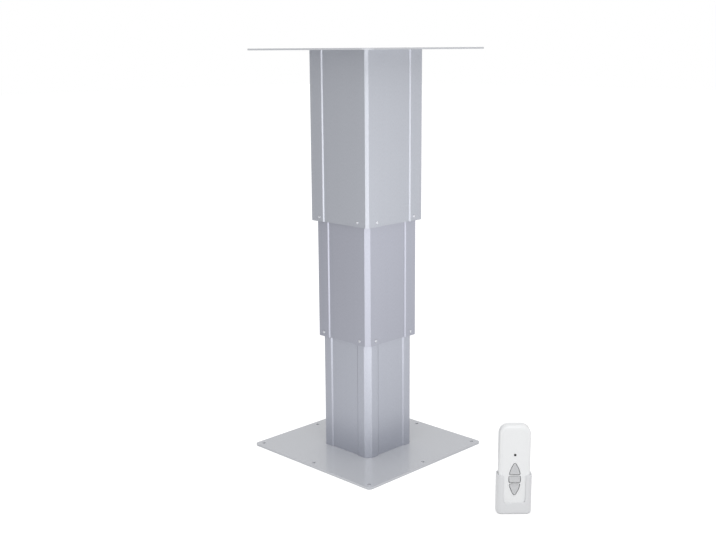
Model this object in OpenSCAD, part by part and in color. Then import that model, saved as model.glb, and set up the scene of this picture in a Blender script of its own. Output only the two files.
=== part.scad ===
// Electric lifting column: three nested square stages standing on a square
// base plate and carrying a square top plate, raised by a two-stage hollow
// screw drive, with a radio handset standing beside it in its holder.
// Millimetres, +Z up, origin at the centre of the base plate's underside.
// The column is drawn at its full height.

/* [Plates] */
// Side of the square base plate and of the square top plate
plate_side = 300; // [240:1:360]
// Thickness of the base plate
base_plate_t = 4; // [4:0.5:8]
// Thickness of the top plate
top_plate_t = 3; // [3:0.5:6]
// Corner radius of the base plate
base_corner_r = 7; // [2:0.5:11]
// Corner radius of the top plate
top_corner_r = 16; // [2:0.5:20]
// Diameter of the eight fixing holes in each plate
fixing_hole_d = 6.5; // [5:0.5:8]
// Distance from a fixing hole's centre to the plate's edge
fixing_hole_inset = 12; // [9:0.5:18]

/* [Stage tubes] */
// Outer side of the lower tube, the smallest of the three
lower_side = 120; // [116:0.5:130]
// Wall thickness of every tube
tube_wall = 2; // [1.5:0.1:2.2]
// Depth of the recessed panel in each tube face
panel_inset = 2; // [1:0.1:2.2]
// Space between the lower tube and the middle tube's inside
lower_stage_gap = 3.5; // [3:0.1:5]
// Space between the middle tube and the upper tube's inside
upper_stage_gap = 4; // [3.5:0.1:5.5]
// Corner chamfer leg of the lower tube
lower_chamfer = 9.6; // [8:0.1:11]
// Corner chamfer leg of the middle tube
middle_chamfer = 7.5; // [6:0.1:9]
// Corner chamfer leg of the upper tube
upper_chamfer = 4.6; // [4:0.1:6]
// Width of the flat post beside each corner of the lower tube
lower_post = 27; // [26:0.1:29]
// Width of the flat post beside each corner of the middle tube
middle_post = 33; // [32:0.1:34]
// Width of the flat post beside each corner of the upper tube
upper_post = 34; // [33.5:0.1:36]

/* [Travel and guides] */
// How far each stage slides out of the one below
stage_travel = 200; // [120:1:300]
// Space left under the middle tube when the column is down
middle_foot_gap = 11; // [8:0.5:20]
// How much higher the upper tube's end stops than the middle tube's
upper_stagger = 13; // [12.5:0.5:16]
// Height of the guide collar inside a tube's lower end
collar_h = 24; // [18:1:34]
// Height of the guide ring around a tube's upper end
ring_h = 16; // [10:1:24]
// Depth of a guide collar's underside above its tube's end
collar_inset = 1; // [0.5:0.25:2]
// Space between a collar and the ring below it at full height
stop_gap = 3; // [1:0.5:6]
// Sliding clearance between a guide and the tube it runs on
slide_gap = 0.3; // [0.3:0.05:0.5]
// Assembly clearance between two pieces fixed together
seat_gap = 0.1; // [0.05:0.05:0.2]

/* [Collar screws] */
// Height of the collar screws above their tube's end
collar_screw_z = 8; // [6:0.5:8.5]
// Distance of the upper tube's collar screws from its corners
upper_screw_edge = 24; // [18:0.5:28]
// Distance of the middle tube's collar screws from its corners
middle_screw_edge = 20; // [14:0.5:26]
// Head diameter of the collar screws
collar_screw_head_d = 5.5; // [4.5:0.5:6.5]

/* [Drive] */
// Height kept under the top plate for motor, gearbox and receiver
drive_h = 50; // [48:1:70]
// Outer diameter of the hollow screw
hollow_screw_d = 28; // [26:0.5:30]
// Bore of the hollow screw
hollow_screw_bore = 20; // [19.5:0.5:20.5]
// Outer diameter of the inner screw
inner_screw_d = 16; // [14:0.5:18]
// Height of the lower nut
lower_nut_h = 19; // [16:0.5:24]
// Height of the upper nut inside the hollow screw's head
upper_nut_h = 24; // [18:1:30]
// Thickness of the plate that carries the hollow screw's bearing
bearing_plate_t = 10; // [9.5:0.5:14]
// Diameter of the motor can
motor_d = 37; // [30:0.5:38]
// Running clearance of a shaft or screw in its bore
run_gap = 0.05; // [0.03:0.01:0.1]

/* [Handset] */
// Width of the handset
handset_w = 50; // [44:0.5:60]
// Thickness of the handset
handset_t = 20; // [18:0.5:24]
// Height of the handset from its lower end to its top
handset_h = 142; // [136:1:160]
// Wall thickness of the handset's shells
shell_wall = 2; // [1.5:0.1:2.2]
// Height of the holder
holder_h = 66; // [50:1:72]
// Wall thickness of the holder
holder_wall = 2.5; // [2:0.1:4]
// Height of the bottom band of the holder's open front
holder_band_h = 19; // [14:0.5:24]
// Distance of the holder from the column's axis along X
holder_x = 372; // [340:1:440]
// Distance of the holder from the column's axis along Y
holder_y = -48; // [-120:1:120]

/* [Hidden] */
$fn = 96;
tiny = 0.01;

// ---- heights, worked out with the column down ----
middle_z_down = base_plate_t + middle_foot_gap;
upper_z_down = middle_z_down + upper_stagger;
lower_top = middle_z_down + stage_travel + collar_inset + collar_h + stop_gap + ring_h;
ring_lip_t = 1.5;
stack_gap = 3;
bearing_plate_z_down = lower_top + stack_gap;
plate_recess = 1;
middle_top_down = bearing_plate_z_down + bearing_plate_t + plate_recess;
head_gap = 4;
drive_z_down = middle_top_down + head_gap;
top_plate_z_down = drive_z_down + drive_h;

// ---- heights at full height, as drawn ----
middle_z = middle_z_down + stage_travel;
middle_top = middle_top_down + stage_travel;
bearing_plate_z = bearing_plate_z_down + stage_travel;
upper_z = upper_z_down + 2 * stage_travel;
drive_z = drive_z_down + 2 * stage_travel;
top_plate_z = top_plate_z_down + 2 * stage_travel;
top_face_z = top_plate_z + top_plate_t;

// ---- tube outlines: [side, chamfer leg, post width] ----
middle_side = lower_side + 2 * (lower_stage_gap + tube_wall);
upper_side = middle_side + 2 * (upper_stage_gap + tube_wall);
lower_tube_size = [lower_side, lower_chamfer, lower_post];
middle_tube_size = [middle_side, middle_chamfer, middle_post];
upper_tube_size = [upper_side, upper_chamfer, upper_post];
lower_inside = lower_side / 2 - tube_wall;
upper_inside = upper_side / 2 - tube_wall;

// ---- countersunk and pan screws: [shank radius, head radius, head height] ----
base_screw = [3, 6, 3];
top_screw = [2.5, 5, 2.5];
collar_screw = [1.5, collar_screw_head_d / 2, 1.2];
collar_screw_bite = 1.2;
collar_hole_depth = 3;
nut_screw = [2.5, 4.2, 2.6];
small_screw = [1.5, 2.7, 1.4];
base_screw_len = 18;
top_screw_len = 13;
boss_screw_len = 12;
csk_sink = 0.2;
block_side = 22;
base_block_h = 20;
top_block_h = 12;

// ---- hollow screw, its nut and its bearing ----
nut_plate_t = 6;
nut_plate_z = lower_top - 3 - nut_plate_t;
lower_nut_r = hollow_screw_d / 2 + 6;
lower_nut_flange_r = lower_nut_r + 10;
lower_nut_flange_t = 5;
lower_nut_top = lower_top - 2;
lower_nut_z = lower_nut_top - lower_nut_h;
nut_bolt_r = lower_nut_r + 5;
stop_ring_t = 2.5;
stop_ring_z = lower_nut_z - 2 - stop_ring_t;
hollow_screw_z = stop_ring_z - 1.5;
bearing_lip_t = 1.5;
bearing_h = 7;
bearing_z = bearing_plate_z + bearing_lip_t;
journal_r = hollow_screw_d / 2 + 1;
bearing_outer_r = journal_r + 6;
bearing_pitch_r = journal_r + 3;
ball_r = 1.75;
ball_count = 14;
shoulder_r = journal_r + 2;
retainer_bolt_r = bearing_outer_r + 4;
retainer_t = 1.2;
retainer_rim = 4;
retainer_screw_len = 7;
head_top = bearing_plate_z + bearing_plate_t + plate_recess;
circlip_t = 1.1;
circlip_z = bearing_z + bearing_h + 0.2;
circlip_groove = 0.75;
upper_nut_r = hollow_screw_bore / 2 + 2;
upper_nut_flange_r = journal_r - 0.5;
upper_nut_flange_t = 1.5;
upper_nut_z = head_top - upper_nut_h;

// ---- inner screw ----
inner_r = inner_screw_d / 2;
inner_screw_z = upper_nut_z - 6;
stop_bolt_head_h = 3;
stop_bolt_r = 3;
stop_bolt_len = 12;
stop_bolt_hole = 14;
stop_bolt_clear = 0.4;
gearbox_pocket_h = 3;
drive_journal_r = inner_r - 2;
gearbox_h = 38;
gearbox_cover_t = 6;
cover_screw_len = 14;
cover_hole_depth = 12;
gearbox_top = drive_z + gearbox_h;
washer_t = 1.5;
washer_r = 10;
screw_nut_h = 8;
screw_nut_r = 10.4;

// ---- gearbox, motor, receiver and socket, seen from the column's axis ----
gearbox_half_w = 27;
gearbox_worm_side = 42;
gearbox_corner_r = 5;
cover_screw_in = 5;
rib_pitch = 10.6;
rib_t = 2;
rib_depth = 2;
rib_end = 3;
mount_boss_r = 6;
mount_boss_at = 14.5;
motor_y = 23;
motor_z = drive_z + gearbox_h / 2;
motor_flange_t = 4;
motor_end_x = upper_inside - panel_inset - 2;
motor_cap_t = 6;
motor_hub_h = 1.5;
motor_hub_r = 6;
vent_from_r = 9;
vent_len = 6;
vent_w = 2;
receiver_size = [30, 68, 30];
receiver_x = upper_inside - panel_inset - 2 - receiver_size[0] / 2;
receiver_wall = 1.6;
receiver_post_in = 4;
board_t = 1.6;
board_size = [24, 52];
pad_in = 4;
pad_r = 2;
pad_h = 3;
receiver_post_r = 3;
receiver_screw = [1, 1.9, 1.2];
receiver_screw_len = 8;
relay_size = [16, 13, 11];
relay_pitch = 16;
relay_y = -20;
terminal_size = [20, 9, 8];
terminal_y = 14;
socket_z = drive_z + 25;
socket_face_y = upper_side / 2 - panel_inset;
socket_flange = [8, 1.6];
socket_thread_r = 5.9;
socket_thread_len = 14;
socket_nut = [8.6, 3];
socket_bore_r = 3.3;
socket_bore_depth = 10;

// ---- handset, in its own frame: X across, -Y the front, Z up ----
handset_turn = 45;
hold_gap = 0.5;
holder_floor_t = 5.5;
handset_z = holder_floor_t + hold_gap;
handset_top = handset_z + handset_h;
handset_corner_r = 5;
handset_top_r = 15;
handset_foot_r = 6;
press_gap = 0.3;
button_proud = 1.2;
button_flange_t = 0.9;
button_flange_w = 1;
// the three buttons share one lens-shaped outline
lens_mid_z = 59.5;
lens_half_h = 27.5;
lens_half_w = 9;
lens_r = (pow(lens_half_h, 2) + pow(lens_half_w, 2)) / (2 * lens_half_w);
button_rows = [[67.3, 87], [54.3, 64.3], [32, 51.3]];
pcb_y = 5.2;
pcb_w = 36;
pcb_z = [26, 128];
led_z = 100;
led_r = 1.5;
cell_r = 5.15;
cell_h = 28.5;
cell_z = 90;
door_w = 30;
door_z = [84, 124];
door_t = 1.2;
door_ledge = 2;
case_screw_x = 19;
case_screw_z = 76;
case_boss_r = 3;
case_screw_r = 1.1;
case_head_r = 2;
case_head_h = 1;
case_sink = 1.4;
case_bite = 5;
grip_size = [12, 1, 1];
grip_from = 5;
grip_pitch = 2.5;
grip_depth = 0.5;

// ======================= outlines =======================

// One face of a tube's outline, left corner to right, with its recessed panel
function face_points(h, chamfer, post) = [
    [-h + chamfer, -h],
    [-h + post - panel_inset / 2, -h],
    [-h + post + panel_inset / 2, -h + panel_inset],
    [h - post - panel_inset / 2, -h + panel_inset],
    [h - post + panel_inset / 2, -h],
    [h - chamfer, -h]
];

function turned(p, angle) = [
    p[0] * cos(angle) - p[1] * sin(angle),
    p[0] * sin(angle) + p[1] * cos(angle)
];

function tube_points(size) = [
    for (quarter = [0:3])
        for (p = face_points(size[0] / 2, size[1], size[2]))
            turned(p, 90 * quarter)
];

// The same outline moved outwards by g at every face, or inwards where g is negative
function grown(size, g) = [
    size[0] + 2 * g,
    size[1] + (2 - sqrt(2)) * g,
    size[2] + sqrt(2) * g
];

module tube_outline(size) {
    polygon(tube_points(size));
}

// A prism of a tube's outline from z0 to z1
module tube_prism(size, z0, z1) {
    translate([0, 0, z0])
        linear_extrude(z1 - z0)
            tube_outline(size);
}

module rounded_rect(w, d, r) {
    square([w - 2 * r, d], center = true);
    square([w, d - 2 * r], center = true);
    for (sx = [-1, 1], sy = [-1, 1])
        translate([sx * (w / 2 - r), sy * (d / 2 - r)])
            circle(r);
}

module ring(outer_r, inner_r, z0, z1) {
    translate([0, 0, z0])
        rotate_extrude()
            translate([inner_r, 0])
                square([outer_r - inner_r, z1 - z0]);
}

module rod(r, z0, z1) {
    translate([0, 0, z0])
        cylinder(r = r, h = z1 - z0);
}

module at_corners(x) {
    for (sx = [-1, 1], sy = [-1, 1])
        translate([sx * x, sy * x, 0])
            children();
}

module at_four(r, start = 45) {
    for (i = [0:3])
        rotate([0, 0, start + 90 * i])
            translate([r, 0, 0])
                children();
}

// ======================= screws =======================

// Countersunk screw: flat head's face at z = 0, shank along +Z
module csk_screw(size, length) {
    difference() {
        union() {
            cylinder(r1 = size[1], r2 = size[0], h = size[2]);
            rod(size[0], 0, length);
        }
        translate([0, 0, -tiny])
            cylinder(r = size[0] * 0.75, h = size[2] * 0.7, $fn = 6);
    }
}

// The hole for it, with the assembly clearance all round
module csk_hole(size, length) {
    translate([0, 0, -1])
        rod(size[1] + seat_gap, 0, 1);
    cylinder(r1 = size[1] + seat_gap, r2 = size[0] + seat_gap, h = size[2]);
    rod(size[0] + seat_gap, 0, length);
}

// Socket-head screw: head stands along +Z from z = 0, shank along -Z
module pan_screw(size, length) {
    difference() {
        union() {
            rod(size[1], 0, size[2]);
            rod(size[0], -length, 0);
        }
        translate([0, 0, size[2] * 0.4])
            cylinder(r = size[1] * 0.5, h = size[2], $fn = 6);
    }
}

// ======================= plates =======================

module fixing_holes(z0, z1) {
    reach = plate_side / 2 - fixing_hole_inset;
    at_corners(reach)
        rod(fixing_hole_d / 2, z0, z1);
    at_four(reach, 0)
        rod(fixing_hole_d / 2, z0, z1);
}

module square_plate(z0, z1, corner_r) {
    difference() {
        translate([0, 0, z0])
            linear_extrude(z1 - z0)
                rounded_rect(plate_side, plate_side, corner_r);
        fixing_holes(z0 - 1, z1 + 1);
    }
}

base_block_at = lower_inside - block_side / 2;
top_block_at = upper_inside - block_side / 2;

module base_plate() {
    color([0.76, 0.76, 0.78])
        difference() {
            square_plate(0, base_plate_t, base_corner_r);
            at_corners(base_block_at)
                translate([0, 0, csk_sink])
                    csk_hole(base_screw, base_plate_t + 1);
        }
}

module top_plate() {
    color([0.84, 0.84, 0.85])
        difference() {
            square_plate(top_plate_z, top_face_z, top_corner_r);
            at_corners(top_block_at)
                top_csk_hole();
            at_corners(mount_boss_at)
                top_csk_hole();
        }
}

module top_csk_hole() {
    translate([0, 0, top_face_z - csk_sink])
        mirror([0, 0, 1])
            csk_hole(top_screw, top_plate_t + 1);
}

// Four blocks in a tube's corners that take the plate screws
module corner_blocks(size, inside, z0, h, screw_r) {
    at = inside - block_side / 2;
    difference() {
        intersection() {
            tube_prism(grown(size, -tube_wall), z0, z0 + h);
            at_corners(at)
                translate([-block_side / 2, -block_side / 2, z0])
                    cube([block_side, block_side, h]);
        }
        at_corners(at)
            rod(screw_r + run_gap, z0 - 1, z0 + h + 1);
    }
}

module lower_corner_blocks() {
    color([0.62, 0.63, 0.66])
        corner_blocks(lower_tube_size, lower_inside, base_plate_t, base_block_h, base_screw[0]);
}

module upper_corner_blocks() {
    color([0.62, 0.63, 0.66])
        corner_blocks(upper_tube_size, upper_inside, top_plate_z - top_block_h, top_block_h,
                      top_screw[0]);
}

module base_screws() {
    color([0.3, 0.3, 0.32])
        at_corners(base_block_at)
            translate([0, 0, csk_sink])
                csk_screw(base_screw, base_screw_len);
}

module top_screws() {
    color([0.3, 0.3, 0.32])
        at_corners(top_block_at)
            translate([0, 0, top_face_z - csk_sink])
                mirror([0, 0, 1])
                    csk_screw(top_screw, top_screw_len);
}

// ======================= tubes and guides =======================

module tube(size, z0, z1) {
    difference() {
        tube_prism(size, z0, z1);
        tube_prism(grown(size, -tube_wall), z0 - 1, z1 + 1);
    }
}

// Collar screw places on all four faces: local +Z points out of the face
module at_collar_screws(side, edge, z) {
    for (quarter = [0:3], s = [-1, 1])
        rotate([0, 0, 90 * quarter])
            translate([s * (side / 2 - edge), -side / 2, z])
                rotate([90, 0, 0])
                    children();
}

module collar_screw_holes(side, edge, z) {
    at_collar_screws(side, edge, z)
        rod(collar_screw[0] + run_gap, -tube_wall - collar_hole_depth, 1);
}

module collar_screws(side, edge, z) {
    at_collar_screws(side, edge, z)
        pan_screw(collar_screw, tube_wall + collar_screw_bite);
}

// Plastic collar inside a tube's lower end, sliding on the tube below
module guide_collar(size, inner_size, z0, side, edge, screw_z) {
    difference() {
        tube_prism(grown(size, -tube_wall - seat_gap), z0, z0 + collar_h);
        tube_prism(grown(inner_size, slide_gap), z0 - 1, z0 + collar_h + 1);
        collar_screw_holes(side, edge, screw_z);
    }
}

// Plastic ring around a tube's upper end, with a lip over the end of its wall
module guide_ring(size, outer_size, top) {
    difference() {
        tube_prism(grown(outer_size, -tube_wall - slide_gap), top - ring_h, top + ring_lip_t);
        tube_prism(grown(size, seat_gap), top - ring_h - 1, top);
        tube_prism(grown(size, -tube_wall), top - 1, top + ring_lip_t + 1);
    }
}

module lower_tube() {
    color([0.68, 0.69, 0.73])
        tube(lower_tube_size, base_plate_t, lower_top);
}

module middle_tube() {
    color([0.69, 0.70, 0.74])
        difference() {
            tube(middle_tube_size, middle_z, middle_top);
            collar_screw_holes(middle_side, middle_screw_edge, middle_z + collar_screw_z);
        }
}

module upper_tube() {
    color([0.71, 0.72, 0.75])
        difference() {
            tube(upper_tube_size, upper_z, top_plate_z);
            collar_screw_holes(upper_side, upper_screw_edge, upper_z + collar_screw_z);
            translate([0, 0, socket_z])
                rotate([-90, 0, 0])
                    rod(socket_thread_r + seat_gap, upper_inside - panel_inset - 5, upper_side / 2 + 5);
        }
}

module lower_guide_ring() {
    color([0.16, 0.16, 0.17])
        guide_ring(lower_tube_size, middle_tube_size, lower_top);
}

module middle_guide_ring() {
    color([0.16, 0.16, 0.17])
        guide_ring(middle_tube_size, upper_tube_size, middle_top);
}

module middle_guide_collar() {
    color([0.18, 0.18, 0.19])
        guide_collar(middle_tube_size, lower_tube_size, middle_z + collar_inset,
                     middle_side, middle_screw_edge, middle_z + collar_screw_z);
}

module upper_guide_collar() {
    color([0.18, 0.18, 0.19])
        guide_collar(upper_tube_size, middle_tube_size, upper_z + collar_inset,
                     upper_side, upper_screw_edge, upper_z + collar_screw_z);
}

module middle_collar_screws() {
    color([0.75, 0.76, 0.78])
        collar_screws(middle_side, middle_screw_edge, middle_z + collar_screw_z);
}

module upper_collar_screws() {
    color([0.75, 0.76, 0.78])
        collar_screws(upper_side, upper_screw_edge, upper_z + collar_screw_z);
}

// ======================= hollow screw stage =======================

module lower_nut_plate() {
    color([0.55, 0.56, 0.58])
        difference() {
            tube_prism(grown(lower_tube_size, -tube_wall - seat_gap),
                       nut_plate_z, nut_plate_z + nut_plate_t);
            rod(lower_nut_r + seat_gap, nut_plate_z - 1, lower_top);
            at_four(nut_bolt_r)
                rod(nut_screw[0] + seat_gap, nut_plate_z - 1, lower_top);
        }
}

module lower_nut() {
    color([0.80, 0.67, 0.38])
        difference() {
            union() {
                rod(lower_nut_r, lower_nut_z, lower_nut_top);
                rod(lower_nut_flange_r, nut_plate_z - lower_nut_flange_t, nut_plate_z);
            }
            rod(hollow_screw_d / 2 + run_gap, lower_nut_z - 1, lower_nut_top + 1);
            at_four(nut_bolt_r)
                rod(nut_screw[0] + run_gap, lower_nut_z, nut_plate_z + 1);
        }
}

module lower_nut_screws() {
    color([0.25, 0.25, 0.27])
        at_four(nut_bolt_r)
            translate([0, 0, nut_plate_z + nut_plate_t])
                pan_screw(nut_screw, nut_plate_t + lower_nut_flange_t);
}

module bearing_plate() {
    top = bearing_plate_z + bearing_plate_t;
    color([0.55, 0.56, 0.58])
        difference() {
            tube_prism(grown(middle_tube_size, -tube_wall - seat_gap), bearing_plate_z, top);
            rod(shoulder_r + 1.5, bearing_plate_z - 1, top + 1);
            rod(bearing_outer_r + run_gap, bearing_z, top + 1);
            at_four(retainer_bolt_r)
                rod(small_screw[0] + run_gap, bearing_z, top + 1);
        }
}

// Ball grooves are cut as one round channel around the pitch circle
module ball_groove() {
    translate([0, 0, bearing_z + bearing_h / 2])
        rotate_extrude()
            translate([bearing_pitch_r, 0])
                circle(ball_r + seat_gap);
}

module bearing_outer_ring() {
    color([0.80, 0.81, 0.83])
        difference() {
            ring(bearing_outer_r, bearing_pitch_r + 1, bearing_z, bearing_z + bearing_h);
            ball_groove();
        }
}

module bearing_inner_ring() {
    color([0.80, 0.81, 0.83])
        difference() {
            ring(bearing_pitch_r - 1, journal_r, bearing_z, bearing_z + bearing_h);
            ball_groove();
        }
}

module bearing_balls() {
    color([0.85, 0.86, 0.88])
        for (i = [0:ball_count - 1])
            rotate([0, 0, 360 * i / ball_count])
                translate([bearing_pitch_r, 0, bearing_z + bearing_h / 2])
                    sphere(ball_r, $fn = 48);
}

module bearing_retainer() {
    top = bearing_plate_z + bearing_plate_t;
    color([0.60, 0.61, 0.64])
        difference() {
            union() {
                rod(retainer_bolt_r + retainer_rim, top, top + retainer_t);
                rod(bearing_outer_r - seat_gap, bearing_z + bearing_h + seat_gap, top);
            }
            rod(bearing_pitch_r + 1.5, bearing_z, top + retainer_t + 1);
            at_four(retainer_bolt_r)
                rod(small_screw[0] + seat_gap, bearing_z, top + retainer_t + 1);
        }
}

module bearing_retainer_screws() {
    color([0.25, 0.25, 0.27])
        at_four(retainer_bolt_r)
            translate([0, 0, bearing_plate_z + bearing_plate_t + retainer_t])
                pan_screw(small_screw, retainer_screw_len);
}

module hollow_screw() {
    color([0.70, 0.71, 0.72])
        difference() {
            union() {
                rod(hollow_screw_d / 2, hollow_screw_z, bearing_z);
                rod(shoulder_r, bearing_z - 3, bearing_z);
                rod(journal_r - run_gap, bearing_z, head_top);
            }
            rod(hollow_screw_bore / 2, hollow_screw_z - 1, upper_nut_z + 1);
            rod(upper_nut_r + run_gap, upper_nut_z, head_top + 1);
            ring(journal_r + 1, journal_r - circlip_groove, circlip_z, circlip_z + circlip_t + 0.1);
        }
}

module upper_nut() {
    color([0.80, 0.67, 0.38])
        difference() {
            union() {
                rod(upper_nut_r, upper_nut_z, head_top);
                rod(upper_nut_flange_r, head_top, head_top + upper_nut_flange_t);
            }
            rod(inner_r + run_gap, upper_nut_z - 1, head_top + upper_nut_flange_t + 1);
        }
}

module bearing_circlip() {
    color([0.35, 0.36, 0.38])
        ring(journal_r + 1.4, journal_r - circlip_groove + run_gap, circlip_z, circlip_z + circlip_t);
}

module screw_stop_ring() {
    color([0.35, 0.36, 0.38])
        ring(hollow_screw_d / 2 + 4, hollow_screw_d / 2 + run_gap, stop_ring_z, stop_ring_z + stop_ring_t);
}

// ======================= inner screw =======================

module inner_screw() {
    color([0.72, 0.73, 0.74])
        difference() {
            union() {
                rod(inner_r, inner_screw_z, drive_z + gearbox_pocket_h);
                rod(drive_journal_r, inner_screw_z, gearbox_top + washer_t + screw_nut_h);
            }
            rod(stop_bolt_r + run_gap, inner_screw_z - 1, inner_screw_z + stop_bolt_hole);
        }
}

module screw_stop_bolt() {
    color([0.25, 0.25, 0.27])
        translate([0, 0, inner_screw_z])
            mirror([0, 0, 1])
                pan_screw([stop_bolt_r, hollow_screw_bore / 2 - stop_bolt_clear, stop_bolt_head_h],
                          stop_bolt_len);
}

module screw_washer() {
    color([0.66, 0.67, 0.69])
        ring(washer_r, drive_journal_r + run_gap, gearbox_top + slide_gap, gearbox_top + washer_t);
}

module screw_top_nut() {
    color([0.66, 0.67, 0.69])
        translate([0, 0, gearbox_top + washer_t])
            difference() {
                cylinder(r = screw_nut_r, h = screw_nut_h, $fn = 6);
                rod(drive_journal_r + run_gap, -1, screw_nut_h + 1);
            }
}

// ======================= drive under the top plate =======================

module gearbox_outline() {
    depth = gearbox_half_w + gearbox_worm_side;
    translate([0, (gearbox_worm_side - gearbox_half_w) / 2])
        rounded_rect(2 * gearbox_half_w, depth, gearbox_corner_r);
}

module at_cover_screws() {
    for (x = [-1, 1] * (gearbox_half_w - cover_screw_in),
         y = [-gearbox_half_w + cover_screw_in, gearbox_worm_side - cover_screw_in])
        translate([x, y, 0])
            children();
}

module gearbox_housing() {
    z1 = gearbox_top - gearbox_cover_t;
    color([0.56, 0.57, 0.60])
        difference() {
            union() {
                translate([0, 0, drive_z])
                    linear_extrude(z1 - drive_z)
                        gearbox_outline();
                translate([0, motor_y, motor_z])
                    rotate([0, -90, 0])
                        rod(motor_d / 2, gearbox_half_w - 2, gearbox_half_w + motor_flange_t);
                // stiffening ribs on the worm's side
                for (i = [-1.5:1:1.5])
                    translate([i * rib_pitch - rib_t / 2, gearbox_worm_side - 1, drive_z + rib_end])
                        cube([rib_t, 1 + rib_depth, z1 - drive_z - 2 * rib_end]);
            }
            rod(drive_journal_r + run_gap, drive_z - 1, z1 + 1);
            rod(inner_r + run_gap, drive_z - 1, drive_z + gearbox_pocket_h + run_gap);
            at_cover_screws()
                rod(small_screw[0] + run_gap, z1 - cover_hole_depth, z1 + 1);
            // the motor flange is cut flat under the cover's joint face
            translate([-gearbox_half_w - motor_flange_t - 1, motor_y - motor_d, z1])
                cube([2 * gearbox_half_w, 2 * motor_d, gearbox_cover_t + 1]);
        }
}

module gearbox_cover() {
    z0 = gearbox_top - gearbox_cover_t;
    color([0.60, 0.61, 0.64])
        difference() {
            union() {
                translate([0, 0, z0])
                    linear_extrude(gearbox_cover_t)
                        gearbox_outline();
                at_corners(mount_boss_at)
                    rod(mount_boss_r, gearbox_top - 1, top_plate_z);
            }
            rod(drive_journal_r + run_gap, z0 - 1, gearbox_top + 1);
            at_cover_screws()
                rod(small_screw[0] + seat_gap, z0 - 1, gearbox_top + 1);
            at_corners(mount_boss_at)
                rod(top_screw[0] + run_gap, gearbox_top - 2, top_plate_z + 1);
        }
}

module gearbox_cover_screws() {
    color([0.25, 0.25, 0.27])
        at_cover_screws()
            translate([0, 0, gearbox_top])
                pan_screw(small_screw, cover_screw_len);
}

module gearbox_mount_screws() {
    color([0.3, 0.3, 0.32])
        at_corners(mount_boss_at)
            translate([0, 0, top_face_z - csk_sink])
                mirror([0, 0, 1])
                    csk_screw(top_screw, boss_screw_len);
}

// Local +Z runs from the gearbox along the motor's axis, towards -X
module on_motor_axis() {
    translate([0, motor_y, motor_z])
        rotate([0, -90, 0])
            children();
}

motor_start = gearbox_half_w + motor_flange_t;

module motor_can() {
    color([0.45, 0.46, 0.48])
        on_motor_axis()
            rod(motor_d / 2, motor_start, motor_end_x - motor_cap_t);
}

module motor_end_cap() {
    color([0.14, 0.14, 0.15])
        on_motor_axis()
            difference() {
                union() {
                    rod(motor_d / 2 - 0.6, motor_end_x - motor_cap_t, motor_end_x - motor_hub_h);
                    rod(motor_hub_r, motor_end_x - motor_cap_t, motor_end_x);
                }
                // ventilation slots
                for (i = [0:5])
                    rotate([0, 0, 60 * i])
                        translate([vent_from_r, -vent_w / 2, motor_end_x - motor_cap_t + 2])
                            cube([vent_len, vent_w, motor_cap_t]);
            }
}

module receiver_block(grow, z0, z1) {
    translate([receiver_x, 0, z0])
        linear_extrude(z1 - z0)
            rounded_rect(receiver_size[0] + 2 * grow, receiver_size[1] + 2 * grow, 2 + grow);
}

module at_receiver_screws() {
    for (sx = [-1, 1], sy = [-1, 1])
        translate([
            receiver_x + sx * (receiver_size[0] / 2 - receiver_post_in),
            sy * (receiver_size[1] / 2 - receiver_post_in),
            0
        ])
            children();
}

receiver_z = top_plate_z - receiver_size[2];

module receiver_case() {
    color([0.20, 0.20, 0.21])
        difference() {
            union() {
                difference() {
                    receiver_block(0, receiver_z, top_plate_z);
                    receiver_block(-receiver_wall, receiver_z - 1, top_plate_z - receiver_wall);
                }
                at_receiver_screws()
                    rod(receiver_post_r, receiver_z, top_plate_z - receiver_wall + tiny);
            }
            at_receiver_screws()
                rod(receiver_screw[0] + run_gap, receiver_z - 1, receiver_z + receiver_screw_len + 2);
        }
}

module receiver_cover() {
    color([0.22, 0.22, 0.23])
        difference() {
            union() {
                receiver_block(0, receiver_z - receiver_wall, receiver_z);
                for (sx = [-1, 1], sy = [-1, 1])
                    translate([
                        receiver_x + sx * (board_size[0] / 2 - pad_in),
                        sy * (board_size[1] / 2 - pad_in),
                        0
                    ])
                        rod(pad_r, receiver_z - tiny, receiver_z + pad_h);
            }
            at_receiver_screws()
                rod(receiver_screw[0] + seat_gap, receiver_z - receiver_wall - 1, receiver_z + 1);
        }
}

module receiver_board() {
    z0 = receiver_z + pad_h;
    color([0.10, 0.36, 0.20]) {
        translate([receiver_x - board_size[0] / 2, -board_size[1] / 2, z0])
            cube([board_size[0], board_size[1], board_t]);
        // two relays and the terminal block
        for (y = [relay_y, relay_y + relay_pitch])
            translate([receiver_x - relay_size[0] / 2, y, z0 + board_t])
                cube(relay_size);
        translate([receiver_x - terminal_size[0] / 2, terminal_y, z0 + board_t])
            cube(terminal_size);
    }
}

module receiver_screws() {
    color([0.25, 0.25, 0.27])
        at_receiver_screws()
            translate([0, 0, receiver_z - receiver_wall])
                mirror([0, 0, 1])
                    pan_screw(receiver_screw, receiver_screw_len);
}

// Local +Z points out of the back face, +Y
module on_socket_axis() {
    translate([0, 0, socket_z])
        rotate([-90, 0, 0])
            children();
}

module power_socket() {
    color([0.12, 0.12, 0.13])
        on_socket_axis()
            difference() {
                union() {
                    rod(socket_flange[0], socket_face_y, socket_face_y + socket_flange[1]);
                    rod(socket_thread_r, socket_face_y - socket_thread_len, socket_face_y);
                }
                rod(socket_bore_r, socket_face_y + socket_flange[1] - socket_bore_depth,
                    socket_face_y + socket_flange[1] + 1);
            }
}

module power_socket_nut() {
    color([0.70, 0.71, 0.73])
        on_socket_axis()
            translate([0, 0, socket_face_y - tube_wall - socket_nut[1]])
                difference() {
                    cylinder(r = socket_nut[0], h = socket_nut[1], $fn = 6);
                    rod(socket_thread_r + run_gap, -1, socket_nut[1] + 1);
                }
}

// ======================= handset and holder =======================

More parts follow.
